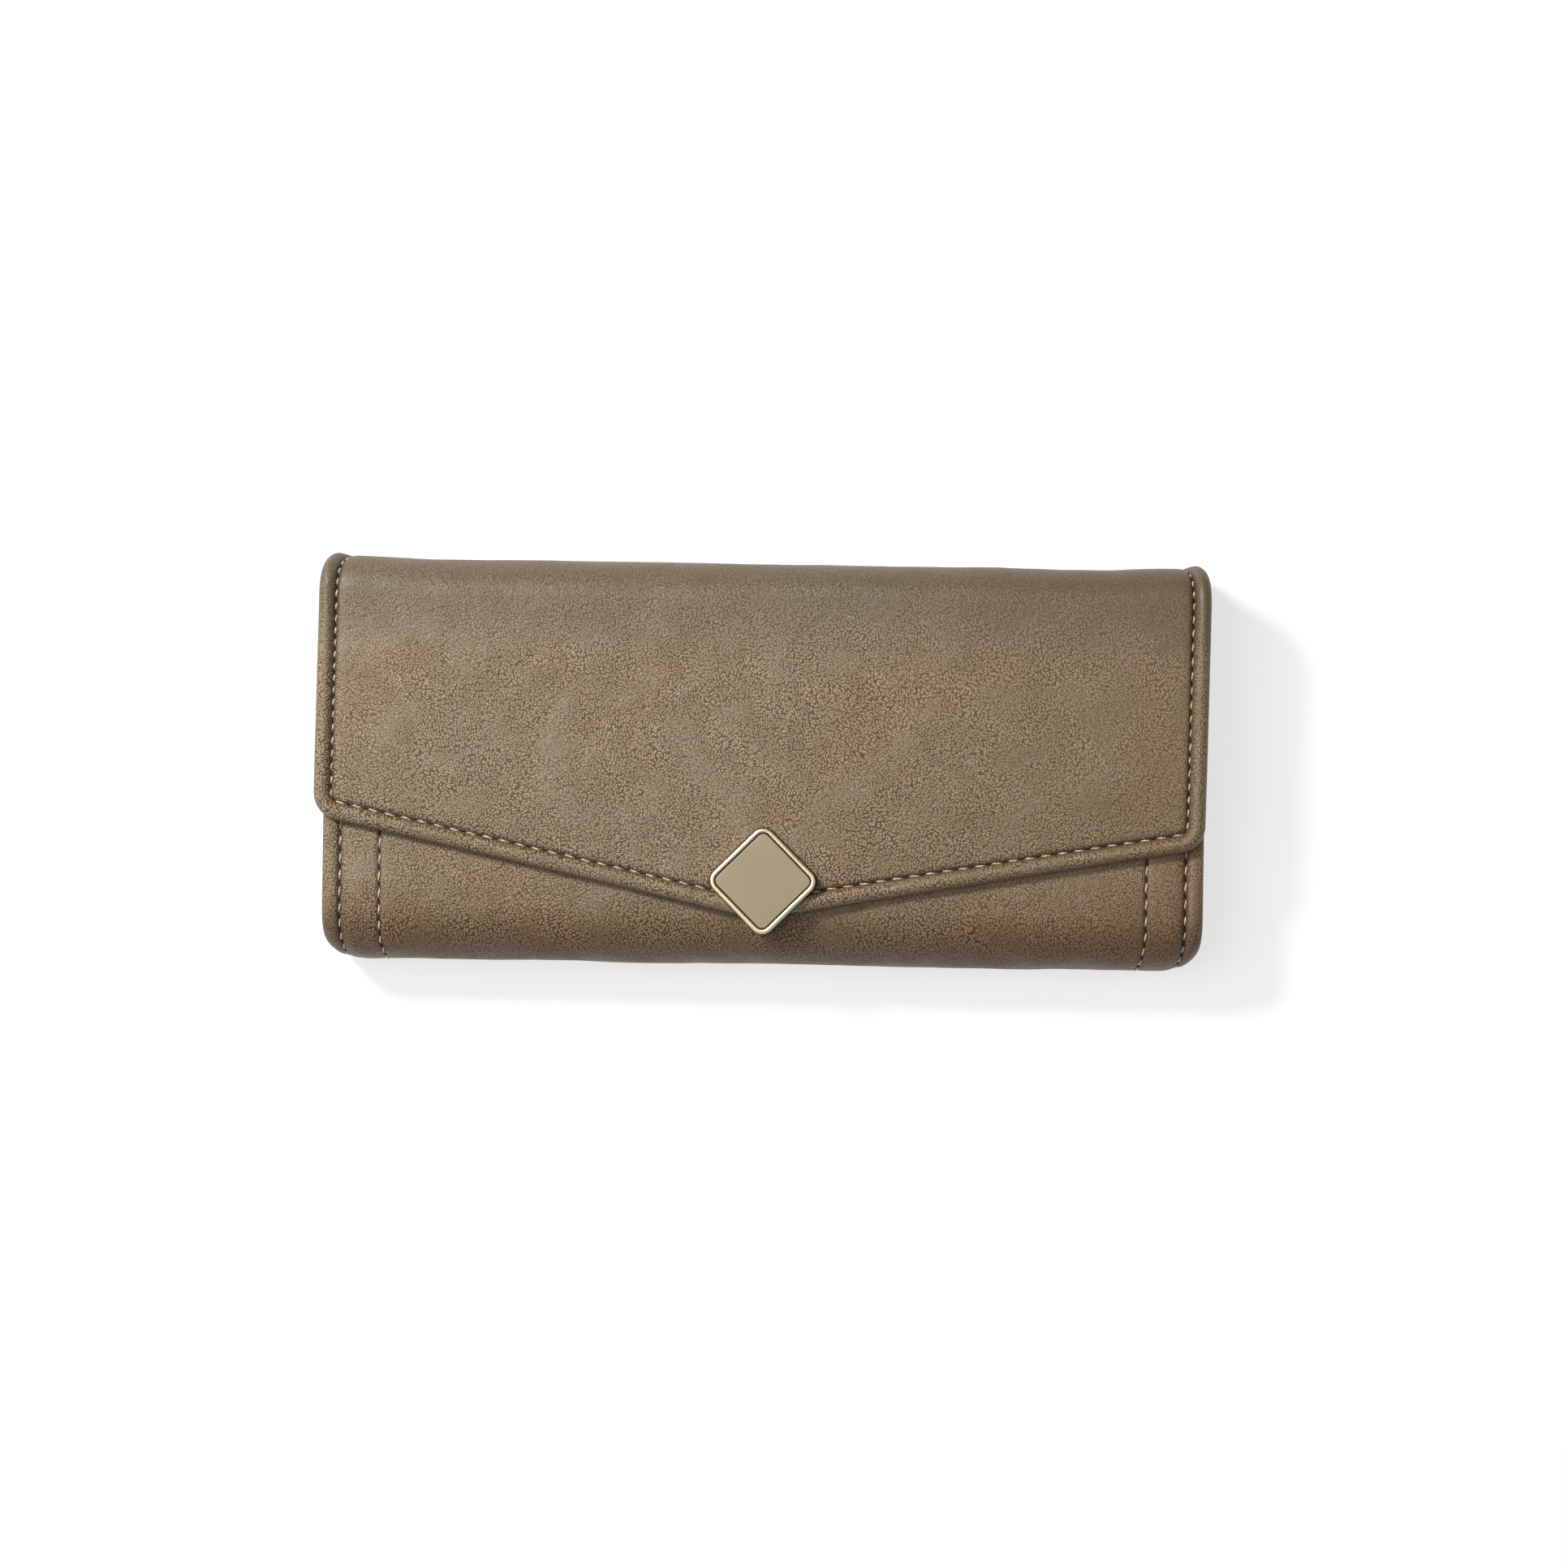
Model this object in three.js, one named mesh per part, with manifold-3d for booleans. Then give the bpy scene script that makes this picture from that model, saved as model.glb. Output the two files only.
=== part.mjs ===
// A long envelope wallet, closed and lying on its back.
//
// Frame: X runs along the wallet, +Y points to the top fold that the flap hangs from, +Z comes out
// of the front. The origin is the middle of the back, on the surface that the wallet lies on.
//
// From the back (Z = 0) to the front: back panel, rear banknote compartment, zipped coin pocket,
// front banknote compartment, front panel, and the pointed flap with its lozenge emblem. The cover
// is one sheet of leather on the real thing. Here it is cut at its folds into the pieces that move.

import * as THREE from "three";
import { mergeVertices } from "three/addons/utils/BufferGeometryUtils.js";
import Module from "manifold-3d";

const wasm = await Module();
wasm.setup();

// ---------------------------------------------------------------- driving dimensions, in mm

const BODY_WIDTH = 194;
const FLAP_WIDTH = 196;
const HEIGHT = 88; // bottom fold to top fold
const BODY_DEPTH = 24; // back to front without the flap
const CLOSED_DEPTH = 27.6; // back to the flap's outer face
const PLAN_CORNER = 5; // how round the folds' ends look from the front

const LEATHER = 1.1;
const BOARD = 0.8;
const LINING = 0.5;
const LAYER_GAP = 0.1;

const TOP_FOLD_RADIUS = 8;
const CREASE_HALF_ANGLE = 6; // degrees of leather left out on each side of a crease
const FRONT_TOP = 30; // Y of the front panel's free edge

const CARD_POCKETS = 3;
const CARD_POCKET_PITCH = 0.8; // one pocket layer and the card space under it
const CARD_ROW_STEP = 8.5;
const INNER_HALF_WIDTH = 82; // of the pockets between the gussets

const COIN_DEPTH = 5.2;
const COIN_TOP = 19;
const POCKET_BOTTOM = -30;

const FLAP_SIDE_END = -15; // Y where the flap's side would meet its slanting edge
const FLAP_TIP = -34;
const FLAP_CORNER = 6;
const FLAP_TIP_RADIUS = 26;
const FLAP_LIFT = 1; // between the front panel and the flap
const FLAP_LAYERS = { lining: 0.4, board: 0.5, padding: 0.5, turnedEdge: 1 };
const RIVET = { head: 1.8, headHeight: 0.4, shank: 1, clearance: 0.3, intoEmblem: 0.8 };

const SEAM_INSET = 3.9; // edge stitching, in from the edge
const GUSSET_SEAM_INSET = 12.6; // stitching that holds the gussets
const THREAD = { width: 0.5, height: 0.25 };
const THREAD_GROOVE = { width: 0.8, depth: 0.3 };
const THREAD_CLEARANCE = 0.02; // under the thread

const EMBLEM = { side: 18, corner: 2.6, y: -25.7, height: 2.75, rim: 1.07, gap: 0.3, lip: 0.3 };
const SNAP = { y: -21.5, radius: 7, nub: 2.7, socket: 3.2 };

const GUSSET = {
  panelEnd: 88, pocketEnd: 86, bend: 83.6, mouth: 82.7, apex: 75.8, seamLayer: 0.5, thickness: 0.4,
};

const ZIP_HALF_LENGTH = 78;
const ZIP_GAP = 0.3; // from the zip's middle line to each row of teeth
const TOOTH_ROW = 0.85;
const SLIDER_X = 70;

// ---------------------------------------------------------------- derived places

const MIDDLE = BODY_DEPTH / 2;
const TOP = HEIGHT / 2;
const BOTTOM = -HEIGHT / 2;
const BOTTOM_AXIS_Y = BOTTOM + MIDDLE; // the bottom fold is half round
const TOP_CENTRE_Y = TOP - TOP_FOLD_RADIUS;
const UPPER_CENTRE_Z = CLOSED_DEPTH - TOP_FOLD_RADIUS;
const PANEL_INSIDE = LEATHER + BOARD + LINING + 2 * LAYER_GAP; // depth of a panel's lining face
const CARDS_INSIDE = PANEL_INSIDE + CARD_POCKETS * CARD_POCKET_PITCH;

// ---------------------------------------------------------------- materials

function finish(color, roughness, metalness = 0) {
  return () => new THREE.MeshStandardMaterial({ color, roughness, metalness });
}

const taupeLeather = finish(0x92806a, 0.5);
const innerLeather = finish(0x84725c, 0.55);
const liningCloth = finish(0x5d4f40, 0.85);
const greyBoard = finish(0x8c8478, 0.9);
const padding = finish(0xd8d2c4, 0.95);
const paleGold = finish(0xd8c690, 0.25, 1);
const brassPlate = finish(0xb89a5c, 0.3, 1);
const darkMagnet = finish(0x2d2b2a, 0.5, 0.6);
const lacquer = finish(0xa89880, 0.35);
const creamThread = finish(0xcfc0a0, 0.7);
const zipTape = finish(0x6b5b49, 0.9);

// ---------------------------------------------------------------- geometry helpers

const radians = THREE.MathUtils.degToRad;

// A closed outline through corners given as [x, y, radius], with true arcs at the round ones.
function roundedShape(corners) {
  const shape = new THREE.Shape();
  corners.forEach(([x, y, radius = 0], i) => {
    const here = new THREE.Vector2(x, y);
    const before = corners[(i + corners.length - 1) % corners.length];
    const after = corners[(i + 1) % corners.length];
    const back = new THREE.Vector2(before[0] - x, before[1] - y).normalize();
    const on = new THREE.Vector2(after[0] - x, after[1] - y).normalize();
    if (!radius) {
      if (i) shape.lineTo(x, y);
      else shape.moveTo(x, y);
      return;
    }
    const half = Math.acos(THREE.MathUtils.clamp(back.dot(on), -1, 1)) / 2;
    const middle = back.clone().add(on).normalize().multiplyScalar(radius / Math.sin(half));
    const centre = here.clone().add(middle);
    const reach = radius / Math.tan(half);
    const start = here.clone().addScaledVector(back, reach).sub(centre).angle();
    const end = here.clone().addScaledVector(on, reach).sub(centre).angle();
    shape.absarc(centre.x, centre.y, radius, start, end, back.cross(on) > 0);
  });
  shape.closePath();
  return shape;
}

function roundedRectangle(width, height, radius) {
  const [x, y] = [width / 2, height / 2];
  return roundedShape([[-x, -y, radius], [x, -y, radius], [x, y, radius], [-x, y, radius]]);
}

function circle(radius) {
  return new THREE.Shape().absarc(0, 0, radius, 0, 2 * Math.PI, false);
}

// A flat outline in X and Y, standing from z0 to z1.
function plate(shape, z0, z1, curveSegments = 8) {
  const depth = z1 - z0;
  return new THREE.ExtrudeGeometry(shape, { depth, bevelEnabled: false, curveSegments })
    .translate(0, 0, z0);
}

// A section in Y and Z, drawn out along X.
function alongX(section, x0, x1, curveSegments = 8) {
  const turn = new THREE.Matrix4().makeBasis(
    new THREE.Vector3(0, 1, 0), new THREE.Vector3(0, 0, 1), new THREE.Vector3(1, 0, 0));
  return plate(section, x0, x1, curveSegments).applyMatrix4(turn);
}

// A section in X and Z, drawn out along Y.
function alongY(section, y0, y1) {
  const turn = new THREE.Matrix4().makeBasis(
    new THREE.Vector3(1, 0, 0), new THREE.Vector3(0, 0, 1), new THREE.Vector3(0, -1, 0));
  return plate(section, -y1, -y0).applyMatrix4(turn);
}

function box([x0, x1], [y0, y1], [z0, z1]) {
  return new THREE.BoxGeometry(x1 - x0, y1 - y0, z1 - z0)
    .translate((x0 + x1) / 2, (y0 + y1) / 2, (z0 + z1) / 2);
}

// A disc or post standing on z0, with its axis at x, y.
function disc(x, y, radius, z0, z1) {
  return plate(circle(radius), z0, z1, 16).translate(x, y, 0);
}

// The part of a round sheet between two angles, as a section. Angles are in degrees.
function arcSection(y, z, outer, thickness, from, to) {
  const shape = new THREE.Shape();
  shape.absarc(y, z, outer, radians(from), radians(to), false);
  shape.absarc(y, z, outer - thickness, radians(to), radians(from), true);
  shape.closePath();
  return shape;
}

function solid(geometry) {
  const bare = geometry.clone();
  bare.deleteAttribute("normal");
  bare.deleteAttribute("uv");
  const merged = mergeVertices(bare, 1e-4);
  return new wasm.Manifold(new wasm.Mesh({
    numProp: 3,
    vertProperties: merged.attributes.position.array,
    triVerts: new Uint32Array(merged.index.array),
  }));
}

function geometryOf(manifold) {
  const { vertProperties, triVerts } = manifold.getMesh();
  const geometry = new THREE.BufferGeometry()
    .setAttribute("position", new THREE.BufferAttribute(vertProperties, 3))
    .setIndex(new THREE.BufferAttribute(triVerts, 1));
  geometry.computeVertexNormals();
  return geometry;
}

function joined(...pieces) {
  return geometryOf(pieces.map(solid).reduce((all, piece) => all.add(piece)));
}

function cut(piece, ...tools) {
  return geometryOf(tools.map(solid).reduce((rest, tool) => rest.subtract(tool), solid(piece)));
}

function common(a, b) {
  return geometryOf(solid(a).intersect(solid(b)));
}

function addPart(group, name, geometry, material) {
  const mesh = new THREE.Mesh(geometry, material());
  mesh.name = name;
  group.add(mesh);
}

// Rounds the ends of a fold as they look from the front.
function roundFoldEnds(geometry, width) {
  const outline = roundedRectangle(width, HEIGHT, PLAN_CORNER);
  return common(geometry, plate(outline, -1, CLOSED_DEPTH + 1));
}

// ---------------------------------------------------------------- seams

// Straight stitching along Y. The thread lies in a groove pressed into the leather's face, which
// points to +Z where outward is 1 and to -Z where it is -1.
function seamGroove(x, [y0, y1], face, outward) {
  const { width, depth } = THREAD_GROOVE;
  const z = [face - outward * depth, face + outward].sort((a, b) => a - b);
  return box([x - width / 2, x + width / 2], [y0, y1], z);
}

function seamThread(x, [y0, y1], face, outward) {
  const { width, height } = THREAD;
  const bottom = face - outward * (THREAD_GROOVE.depth - THREAD_CLEARANCE);
  const z = [bottom, bottom + outward * height].sort((a, b) => a - b);
  return box([x - width / 2, x + width / 2], [y0, y1], z);
}

const SEAMS = [
  ["left_edge", -(BODY_WIDTH / 2 - SEAM_INSET)],
  ["left_gusset", -(BODY_WIDTH / 2 - GUSSET_SEAM_INSET)],
  ["right_gusset", BODY_WIDTH / 2 - GUSSET_SEAM_INSET],
  ["right_edge", BODY_WIDTH / 2 - SEAM_INSET],
];

// ---------------------------------------------------------------- the two body panels

// Both panels are the same stack of layers, counted inwards from the leather's outer face. The
// back faces down from Z = 0 and the front faces up from Z = BODY_DEPTH.
function makePanel(group, name, outward, top) {
  const face = outward < 0 ? 0 : BODY_DEPTH;
  const layer = (from, thickness) => {
    const ends = [face - outward * from, face - outward * (from + thickness)];
    return ends.sort((a, b) => a - b);
  };
  const half = BODY_WIDTH / 2;
  const boardTop = top - (outward < 0 ? 0 : 2);

  let leather = box([-half, half], [BOTTOM_AXIS_Y, top], layer(0, LEATHER));
  if (outward < 0) leather = withBackFolds(leather);
  const grooves = SEAMS.map(([, x]) => {
    const length = [BOTTOM_AXIS_Y + 0.5, top - 0.5];
    return seamGroove(x, length, face, outward);
  });
  leather = cut(leather, ...grooves);

  let board = box([-half + 3, half - 3], [BOTTOM_AXIS_Y + 1, boardTop],
    layer(LEATHER + LAYER_GAP, BOARD));
  if (outward > 0) {
    const hole = disc(0, SNAP.y, SNAP.radius + 0.4, BODY_DEPTH - 3, BODY_DEPTH + 1);
    leather = cut(leather, hole);
    board = cut(board, hole);
  }
  addPart(group, `${name}_leather`, leather, taupeLeather);
  addPart(group, `${name}_board`, board, greyBoard);
  addPart(group, `${name}_lining`,
    box([-half + 1, half - 1], [BOTTOM_AXIS_Y + 1, boardTop + 1],
      layer(PANEL_INSIDE - LINING, LINING)), liningCloth);

  for (let i = 0; i < CARD_POCKETS; i++) {
    const depth = PANEL_INSIDE + (i + 1) * CARD_POCKET_PITCH - LINING;
    const rowTop = top - 5 - i * CARD_ROW_STEP;
    addPart(group, `${name}_card_pocket_${i + 1}`,
      box([-INNER_HALF_WIDTH, INNER_HALF_WIDTH], [POCKET_BOTTOM, rowTop], layer(depth, LINING)),
      innerLeather);
  }

  for (const [place, x] of SEAMS) {
    const length = [BOTTOM_AXIS_Y + 1, top - 1];
    addPart(group, `${name}_thread_${place}`,
      seamThread(x, length, face, outward), creamThread);
  }
}

// The back's leather turns up at both ends, as far as the folds that move.
function withBackFolds(flat) {
  const half = BODY_WIDTH / 2;
  const lower = arcSection(BOTTOM_AXIS_Y, MIDDLE, MIDDLE, LEATHER, 262, 270.5);
  const upper = arcSection(TOP_CENTRE_Y, TOP_FOLD_RADIUS, TOP_FOLD_RADIUS, LEATHER,
    -90.5, -45 - CREASE_HALF_ANGLE);
  return joined(flat, alongX(lower, -half, half),
    roundFoldEnds(alongX(upper, -half, half), BODY_WIDTH));
}

// ---------------------------------------------------------------- folds

// The bottom fold turns with the front panel. It stops short of the back so that it has room.
function makeBottomFold(group) {
  const half = BODY_WIDTH / 2;
  const [from, to] = [90.8, 236];
  const outer = arcSection(BOTTOM_AXIS_Y, MIDDLE, MIDDLE, LEATHER, from, to);
  const inner = arcSection(BOTTOM_AXIS_Y, MIDDLE, MIDDLE - LEATHER - LAYER_GAP, LINING, from, to);
  addPart(group, "bottom_fold_leather",
    roundFoldEnds(alongX(outer, -half, half, 12), BODY_WIDTH), taupeLeather);
  addPart(group, "bottom_fold_lining", alongX(inner, -half + 6, half - 6, 12), liningCloth);
}

// The spine is the strip of cover between the wallet's two top creases.
function spineSection(inset, thickness, bend) {
  const [outer, inner] = [TOP_FOLD_RADIUS - inset, TOP_FOLD_RADIUS - inset - thickness];
  const angle = radians(bend);
  const shape = new THREE.Shape();
  shape.absarc(TOP_CENTRE_Y, TOP_FOLD_RADIUS, outer, -angle, 0, false);
  shape.absarc(TOP_CENTRE_Y, UPPER_CENTRE_Z, outer, 0, angle, false);
  shape.absarc(TOP_CENTRE_Y, UPPER_CENTRE_Z, inner, angle, 0, true);
  shape.absarc(TOP_CENTRE_Y, TOP_FOLD_RADIUS, inner, 0, -angle, true);
  shape.closePath();
  return shape;
}

function makeSpine(group) {
  const half = BODY_WIDTH / 2;
  const bend = 45 - CREASE_HALF_ANGLE;
  addPart(group, "spine_leather",
    roundFoldEnds(alongX(spineSection(0, LEATHER, bend), -half, half), BODY_WIDTH), taupeLeather);
  addPart(group, "spine_lining",
    alongX(spineSection(LEATHER + LAYER_GAP, LINING, bend - 6), -half + 6, half - 6), liningCloth);
}

// ---------------------------------------------------------------- flap

// The flap's outline, drawn in from its edge by the same amount all round except at the top.
function flapOutline(inset, top) {
  const slope = (FLAP_SIDE_END - FLAP_TIP) / (FLAP_WIDTH / 2);
  const rise = inset * Math.hypot(1, slope);
  const half = FLAP_WIDTH / 2 - inset;
  const tip = FLAP_TIP + rise;
  const corner = Math.max(FLAP_CORNER - inset, 1);
  return roundedShape([
    [-half, tip + half * slope, corner],
    [0, tip, FLAP_TIP_RADIUS - inset],
    [half, tip + half * slope, corner],
    [half, top],
    [-half, top],
  ]);
}

// A band that follows the flap's sides and point but not its top.
function flapBand(inset, width, top, z0, z1) {
  const outer = plate(flapOutline(inset - width / 2, top), z0, z1);
  const inner = plate(flapOutline(inset + width / 2, top + 1), z0 - 1, z1 + 1);
  return cut(outer, inner);
}

const POSTS = [["left", -5.5], ["right", 5.5]]; // rivets that hold the emblem

function makeFlap(group) {
  const inside = BODY_DEPTH + FLAP_LIFT;
  const liningTop = inside + FLAP_LAYERS.lining;
  const boardBottom = liningTop + LAYER_GAP;
  const boardTop = boardBottom + FLAP_LAYERS.board;
  const paddingBottom = boardTop + LAYER_GAP;
  const leatherInside = CLOSED_DEPTH - LEATHER + 0.2;
  const half = FLAP_WIDTH / 2;

  const turn = arcSection(TOP_CENTRE_Y, UPPER_CENTRE_Z, TOP_FOLD_RADIUS, LEATHER,
    45 + CREASE_HALF_ANGLE, 90.5);
  const tray = cut(
    plate(flapOutline(0, TOP_CENTRE_Y), inside, CLOSED_DEPTH),
    plate(flapOutline(FLAP_LAYERS.turnedEdge, TOP_CENTRE_Y + 1), inside - 1, leatherInside),
  );
  const rivetHoles = POSTS.map(([, x]) => disc(
    x, EMBLEM.y, RIVET.shank + RIVET.clearance, inside, CLOSED_DEPTH + 1));
  const groove = flapBand(SEAM_INSET, THREAD_GROOVE.width, TOP_CENTRE_Y - 0.5,
    CLOSED_DEPTH - THREAD_GROOVE.depth, CLOSED_DEPTH + 1);
  const leather = cut(
    joined(tray, roundFoldEnds(alongX(turn, -half, half), FLAP_WIDTH)), groove, ...rivetHoles);
  addPart(group, "flap_leather", leather, taupeLeather);

  const thread = CLOSED_DEPTH - THREAD_GROOVE.depth + THREAD_CLEARANCE;
  addPart(group, "flap_thread", flapBand(SEAM_INSET, THREAD.width, TOP_CENTRE_Y - 1,
    thread, thread + THREAD.height), creamThread);

  const headHoles = POSTS.map(([, x]) => disc(
    x, EMBLEM.y, RIVET.head + RIVET.clearance, inside, boardTop + 0.05));
  addPart(group, "flap_padding",
    cut(plate(flapOutline(2, TOP_CENTRE_Y - 2), paddingBottom, paddingBottom + FLAP_LAYERS.padding),
      ...rivetHoles), padding);
  addPart(group, "flap_board",
    cut(plate(flapOutline(1.4, TOP_CENTRE_Y - 2), boardBottom, boardTop), ...headHoles), greyBoard);
  addPart(group, "flap_lining",
    plate(flapOutline(1.4, TOP_CENTRE_Y + 0.5), inside, liningTop), liningCloth);

  for (const [side, x] of POSTS) {
    addPart(group, `emblem_rivet_${side}`, joined(
      disc(x, EMBLEM.y, RIVET.head, boardBottom, boardBottom + RIVET.headHeight),
      disc(x, EMBLEM.y, RIVET.shank, boardBottom + RIVET.headHeight - 0.1,
        CLOSED_DEPTH + RIVET.intoEmblem),
    ), brassPlate);
  }
}

function makeEmblem(group) {
  const emblem = new THREE.Group();
  emblem.position.set(0, EMBLEM.y, CLOSED_DEPTH + 0.05);
  emblem.rotation.z = Math.PI / 4;
  group.add(emblem);

  const { side, corner, height, rim, gap, lip } = EMBLEM;
  const floor = height - 1.35;
  const hollow = side - 2 * rim;
  const sockets = POSTS.map(([, x]) => {
    const place = new THREE.Vector2(x, 0).rotateAround(new THREE.Vector2(), -Math.PI / 4);
    return disc(place.x, place.y, RIVET.shank + RIVET.clearance, -1, 1);
  });
  addPart(emblem, "emblem_frame", cut(
    plate(roundedRectangle(side, side, corner), 0, height),
    plate(roundedRectangle(hollow, hollow, corner - rim + 0.3), floor, height + 1),
    ...sockets,
  ), paleGold);
  const inlay = hollow - 2 * gap;
  addPart(emblem, "emblem_inlay",
    plate(roundedRectangle(inlay, inlay, corner - rim), floor + 0.05, height - lip), lacquer);
}

// ---------------------------------------------------------------- magnetic snap

function makeSnapStud(group) {
  const plateTop = BODY_DEPTH + FLAP_LIFT - 0.05;
  addPart(group, "snap_stud", joined(
    disc(0, SNAP.y, SNAP.radius, plateTop - 0.5, plateTop),
    disc(0, SNAP.y, SNAP.nub, BODY_DEPTH - 1.05, plateTop - 0.3),
  ), brassPlate);
}

function makeSnapSocket(group) {
  const base = BODY_DEPTH - LEATHER - LAYER_GAP - BOARD;
  const rim = BODY_DEPTH + 0.3;
  const ring = [SNAP.socket + 0.7, SNAP.radius - 0.6];
  const magnetTop = rim - 0.5;
  const cup = cut(
    disc(0, SNAP.y, SNAP.radius, base + 0.5, rim),
    disc(0, SNAP.y, SNAP.socket, base, rim + 1),
    cut(disc(0, SNAP.y, ring[1], base, magnetTop + 0.05),
      disc(0, SNAP.y, ring[0], base - 1, rim + 1)),
  );
  addPart(group, "snap_socket", cup, brassPlate);
  addPart(group, "snap_magnet", cut(
    disc(0, SNAP.y, ring[1] - 0.1, base + 0.5, magnetTop),
    disc(0, SNAP.y, ring[0] + 0.1, base, rim),
  ), darkMagnet);
  addPart(group, "snap_base_plate", disc(0, SNAP.y, SNAP.radius, base + 0.05, base + 0.4),
    brassPlate);
}

// ---------------------------------------------------------------- gussets

// A ribbon of even thickness along points in X and Z.
function ribbon(points, thickness) {
  const line = points.map(([x, z]) => new THREE.Vector2(x, z));
  const side = (offset) => line.map((p, i) => {
    const before = line[Math.max(i - 1, 0)];
    const after = line[Math.min(i + 1, line.length - 1)];
    const along = after.clone().sub(before).normalize();
    return new THREE.Vector2(p.x - along.y * offset, p.y + along.x * offset);
  });
  return new THREE.Shape([...side(-thickness / 2), ...side(thickness / 2).reverse()]);
}

// One V fold between a panel's lining and the coin pocket, pointing into the wallet.
function makeGussets(group, name, outward) {
  const { panelEnd, pocketEnd, bend, mouth, apex, seamLayer, thickness } = GUSSET;
  const flange = PANEL_INSIDE + seamLayer;
  const pocket = MIDDLE - COIN_DEPTH / 2 - seamLayer;
  const depths = [[panelEnd, flange], [bend, flange], [mouth, CARDS_INSIDE + 0.6],
    [apex, (CARDS_INSIDE + pocket) / 2 + 0.2], [mouth, pocket], [pocketEnd, pocket]];
  for (const [side, sign] of [["left", -1], ["right", 1]]) {
    const points = depths.map(([x, depth]) => [
      sign * x, outward < 0 ? depth : BODY_DEPTH - depth]);
    const section = ribbon(points, thickness);
    addPart(group, `${name}_gusset_${side}`, alongY(section, POCKET_BOTTOM, COIN_TOP + 3),
      innerLeather);
  }
}

// ---------------------------------------------------------------- coin pocket and its zip

function makeCoinPocket(group) {
  const half = INNER_HALF_WIDTH;
  const [rear, front] = [MIDDLE - COIN_DEPTH / 2, MIDDLE + COIN_DEPTH / 2];
  const tall = [POCKET_BOTTOM, COIN_TOP];
  addPart(group, "coin_pocket_rear_wall",
    box([-half, half], tall, [rear, rear + LINING]), innerLeather);
  addPart(group, "coin_pocket_front_wall",
    box([-half, half], tall, [front - LINING, front]), innerLeather);
  addPart(group, "coin_pocket_bottom",
    box([-half, half], [POCKET_BOTTOM - 0.6, POCKET_BOTTOM - 0.1], [rear, front]), innerLeather);
  for (const [side, sign] of [["left", -1], ["right", 1]]) {
    const x = [sign * (half + 0.1), sign * (half + 0.6)].sort((a, b) => a - b);
    addPart(group, `coin_pocket_side_${side}`, box(x, tall, [rear, front]), innerLeather);
    const end = [sign * (ZIP_HALF_LENGTH + 0.6), sign * half].sort((a, b) => a - b);
    addPart(group, `zip_end_tab_${side}`,
      box(end, [COIN_TOP + 0.7, COIN_TOP + 1.2], [rear, front]), innerLeather);
  }
}

function makeZip(group) {
  const tape = [COIN_TOP + 0.1, COIN_TOP + 0.6];
  const teeth = [COIN_TOP - 0.2, COIN_TOP + 1.3];
  const length = [-ZIP_HALF_LENGTH, ZIP_HALF_LENGTH];
  const teethLength = [-ZIP_HALF_LENGTH + 2, ZIP_HALF_LENGTH - 2];
  for (const [row, sign] of [["rear", -1], ["front", 1]]) {
    const z = (near, far) => [MIDDLE + sign * near, MIDDLE + sign * far].sort((a, b) => a - b);
    addPart(group, `zip_tape_${row}`,
      box(length, tape, z(ZIP_GAP + TOOTH_ROW + 0.05, COIN_DEPTH / 2)), zipTape);
    addPart(group, `zip_teeth_${row}`,
      box(teethLength, teeth, z(ZIP_GAP, ZIP_GAP + TOOTH_ROW)), brassPlate);
  }
  for (const [side, sign] of [["left", -1], ["right", 1]]) {
    const x = [sign * (ZIP_HALF_LENGTH - 1.8), sign * (ZIP_HALF_LENGTH - 0.2)];
    addPart(group, `zip_stop_${side}`,
      box(x.sort((a, b) => a - b), teeth, [MIDDLE - 1.1, MIDDLE + 1.1]), brassPlate);
  }
}

// The slider's own origin is on the zip's middle line, at the level of the tapes' outer face.
const SLIDER = { half: 5, top: 1.2, plate: 0.8, upper: 2.9, lower: 1.9, pin: 3.8, pinRadius: 0.5 };
const EAR = { half: 1.2, z: 1.9, thickness: 0.6, abovePin: 0.9 };
const PULL = { thickness: 0.9, eye: 1.3, half: 1.4, tab: 10.5, width: 5, corner: 1.8, x: -9.2 };

function makeSlider(group) {
  const { half, top, plate: thick, upper, lower, pin, pinRadius } = SLIDER;
  const ear = (sign) => box([-EAR.half, EAR.half], [top + thick - 0.1, pin + EAR.abovePin],
    [sign * EAR.z - EAR.thickness / 2, sign * EAR.z + EAR.thickness / 2]);
  const post = disc(0, pin, pinRadius, -2, 2);
  const divider = box([half - 3, half - 0.5], [-1.6, top + 0.1], [-0.2, 0.2]);
  addPart(group, "zip_slider", joined(
    box([-half, half], [top, top + thick], [-upper, upper]),
    box([-half, half], [-2.4, -1.4], [-lower, lower]),
    divider, ear(-1), ear(1), post,
  ), brassPlate);
}

function makePull(group) {
  const { pin, pinRadius } = SLIDER;
  const face = pin + PULL.thickness / 2;
  const eye = disc(0, pin, PULL.eye, -PULL.half, PULL.half);
  const neck = box([-5, -0.9], [face - PULL.thickness, face], [-PULL.half, PULL.half]);
  const tab = new THREE.ExtrudeGeometry(roundedRectangle(PULL.tab, PULL.width, PULL.corner),
    { depth: PULL.thickness, bevelEnabled: false, curveSegments: 8 })
    .rotateX(Math.PI / 2).translate(PULL.x, face, 0);
  addPart(group, "zip_pull",
    cut(joined(eye, neck, tab), disc(0, pin, pinRadius + 0.05, -3, 3)), brassPlate);
}

// ---------------------------------------------------------------- the wallet

const wallet = new THREE.Group();
const [back, spine, flap, front, coinPocket, slider] = Array.from({ length: 6 }, () => {
  const group = new THREE.Group();
  wallet.add(group);
  return group;
});

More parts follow.
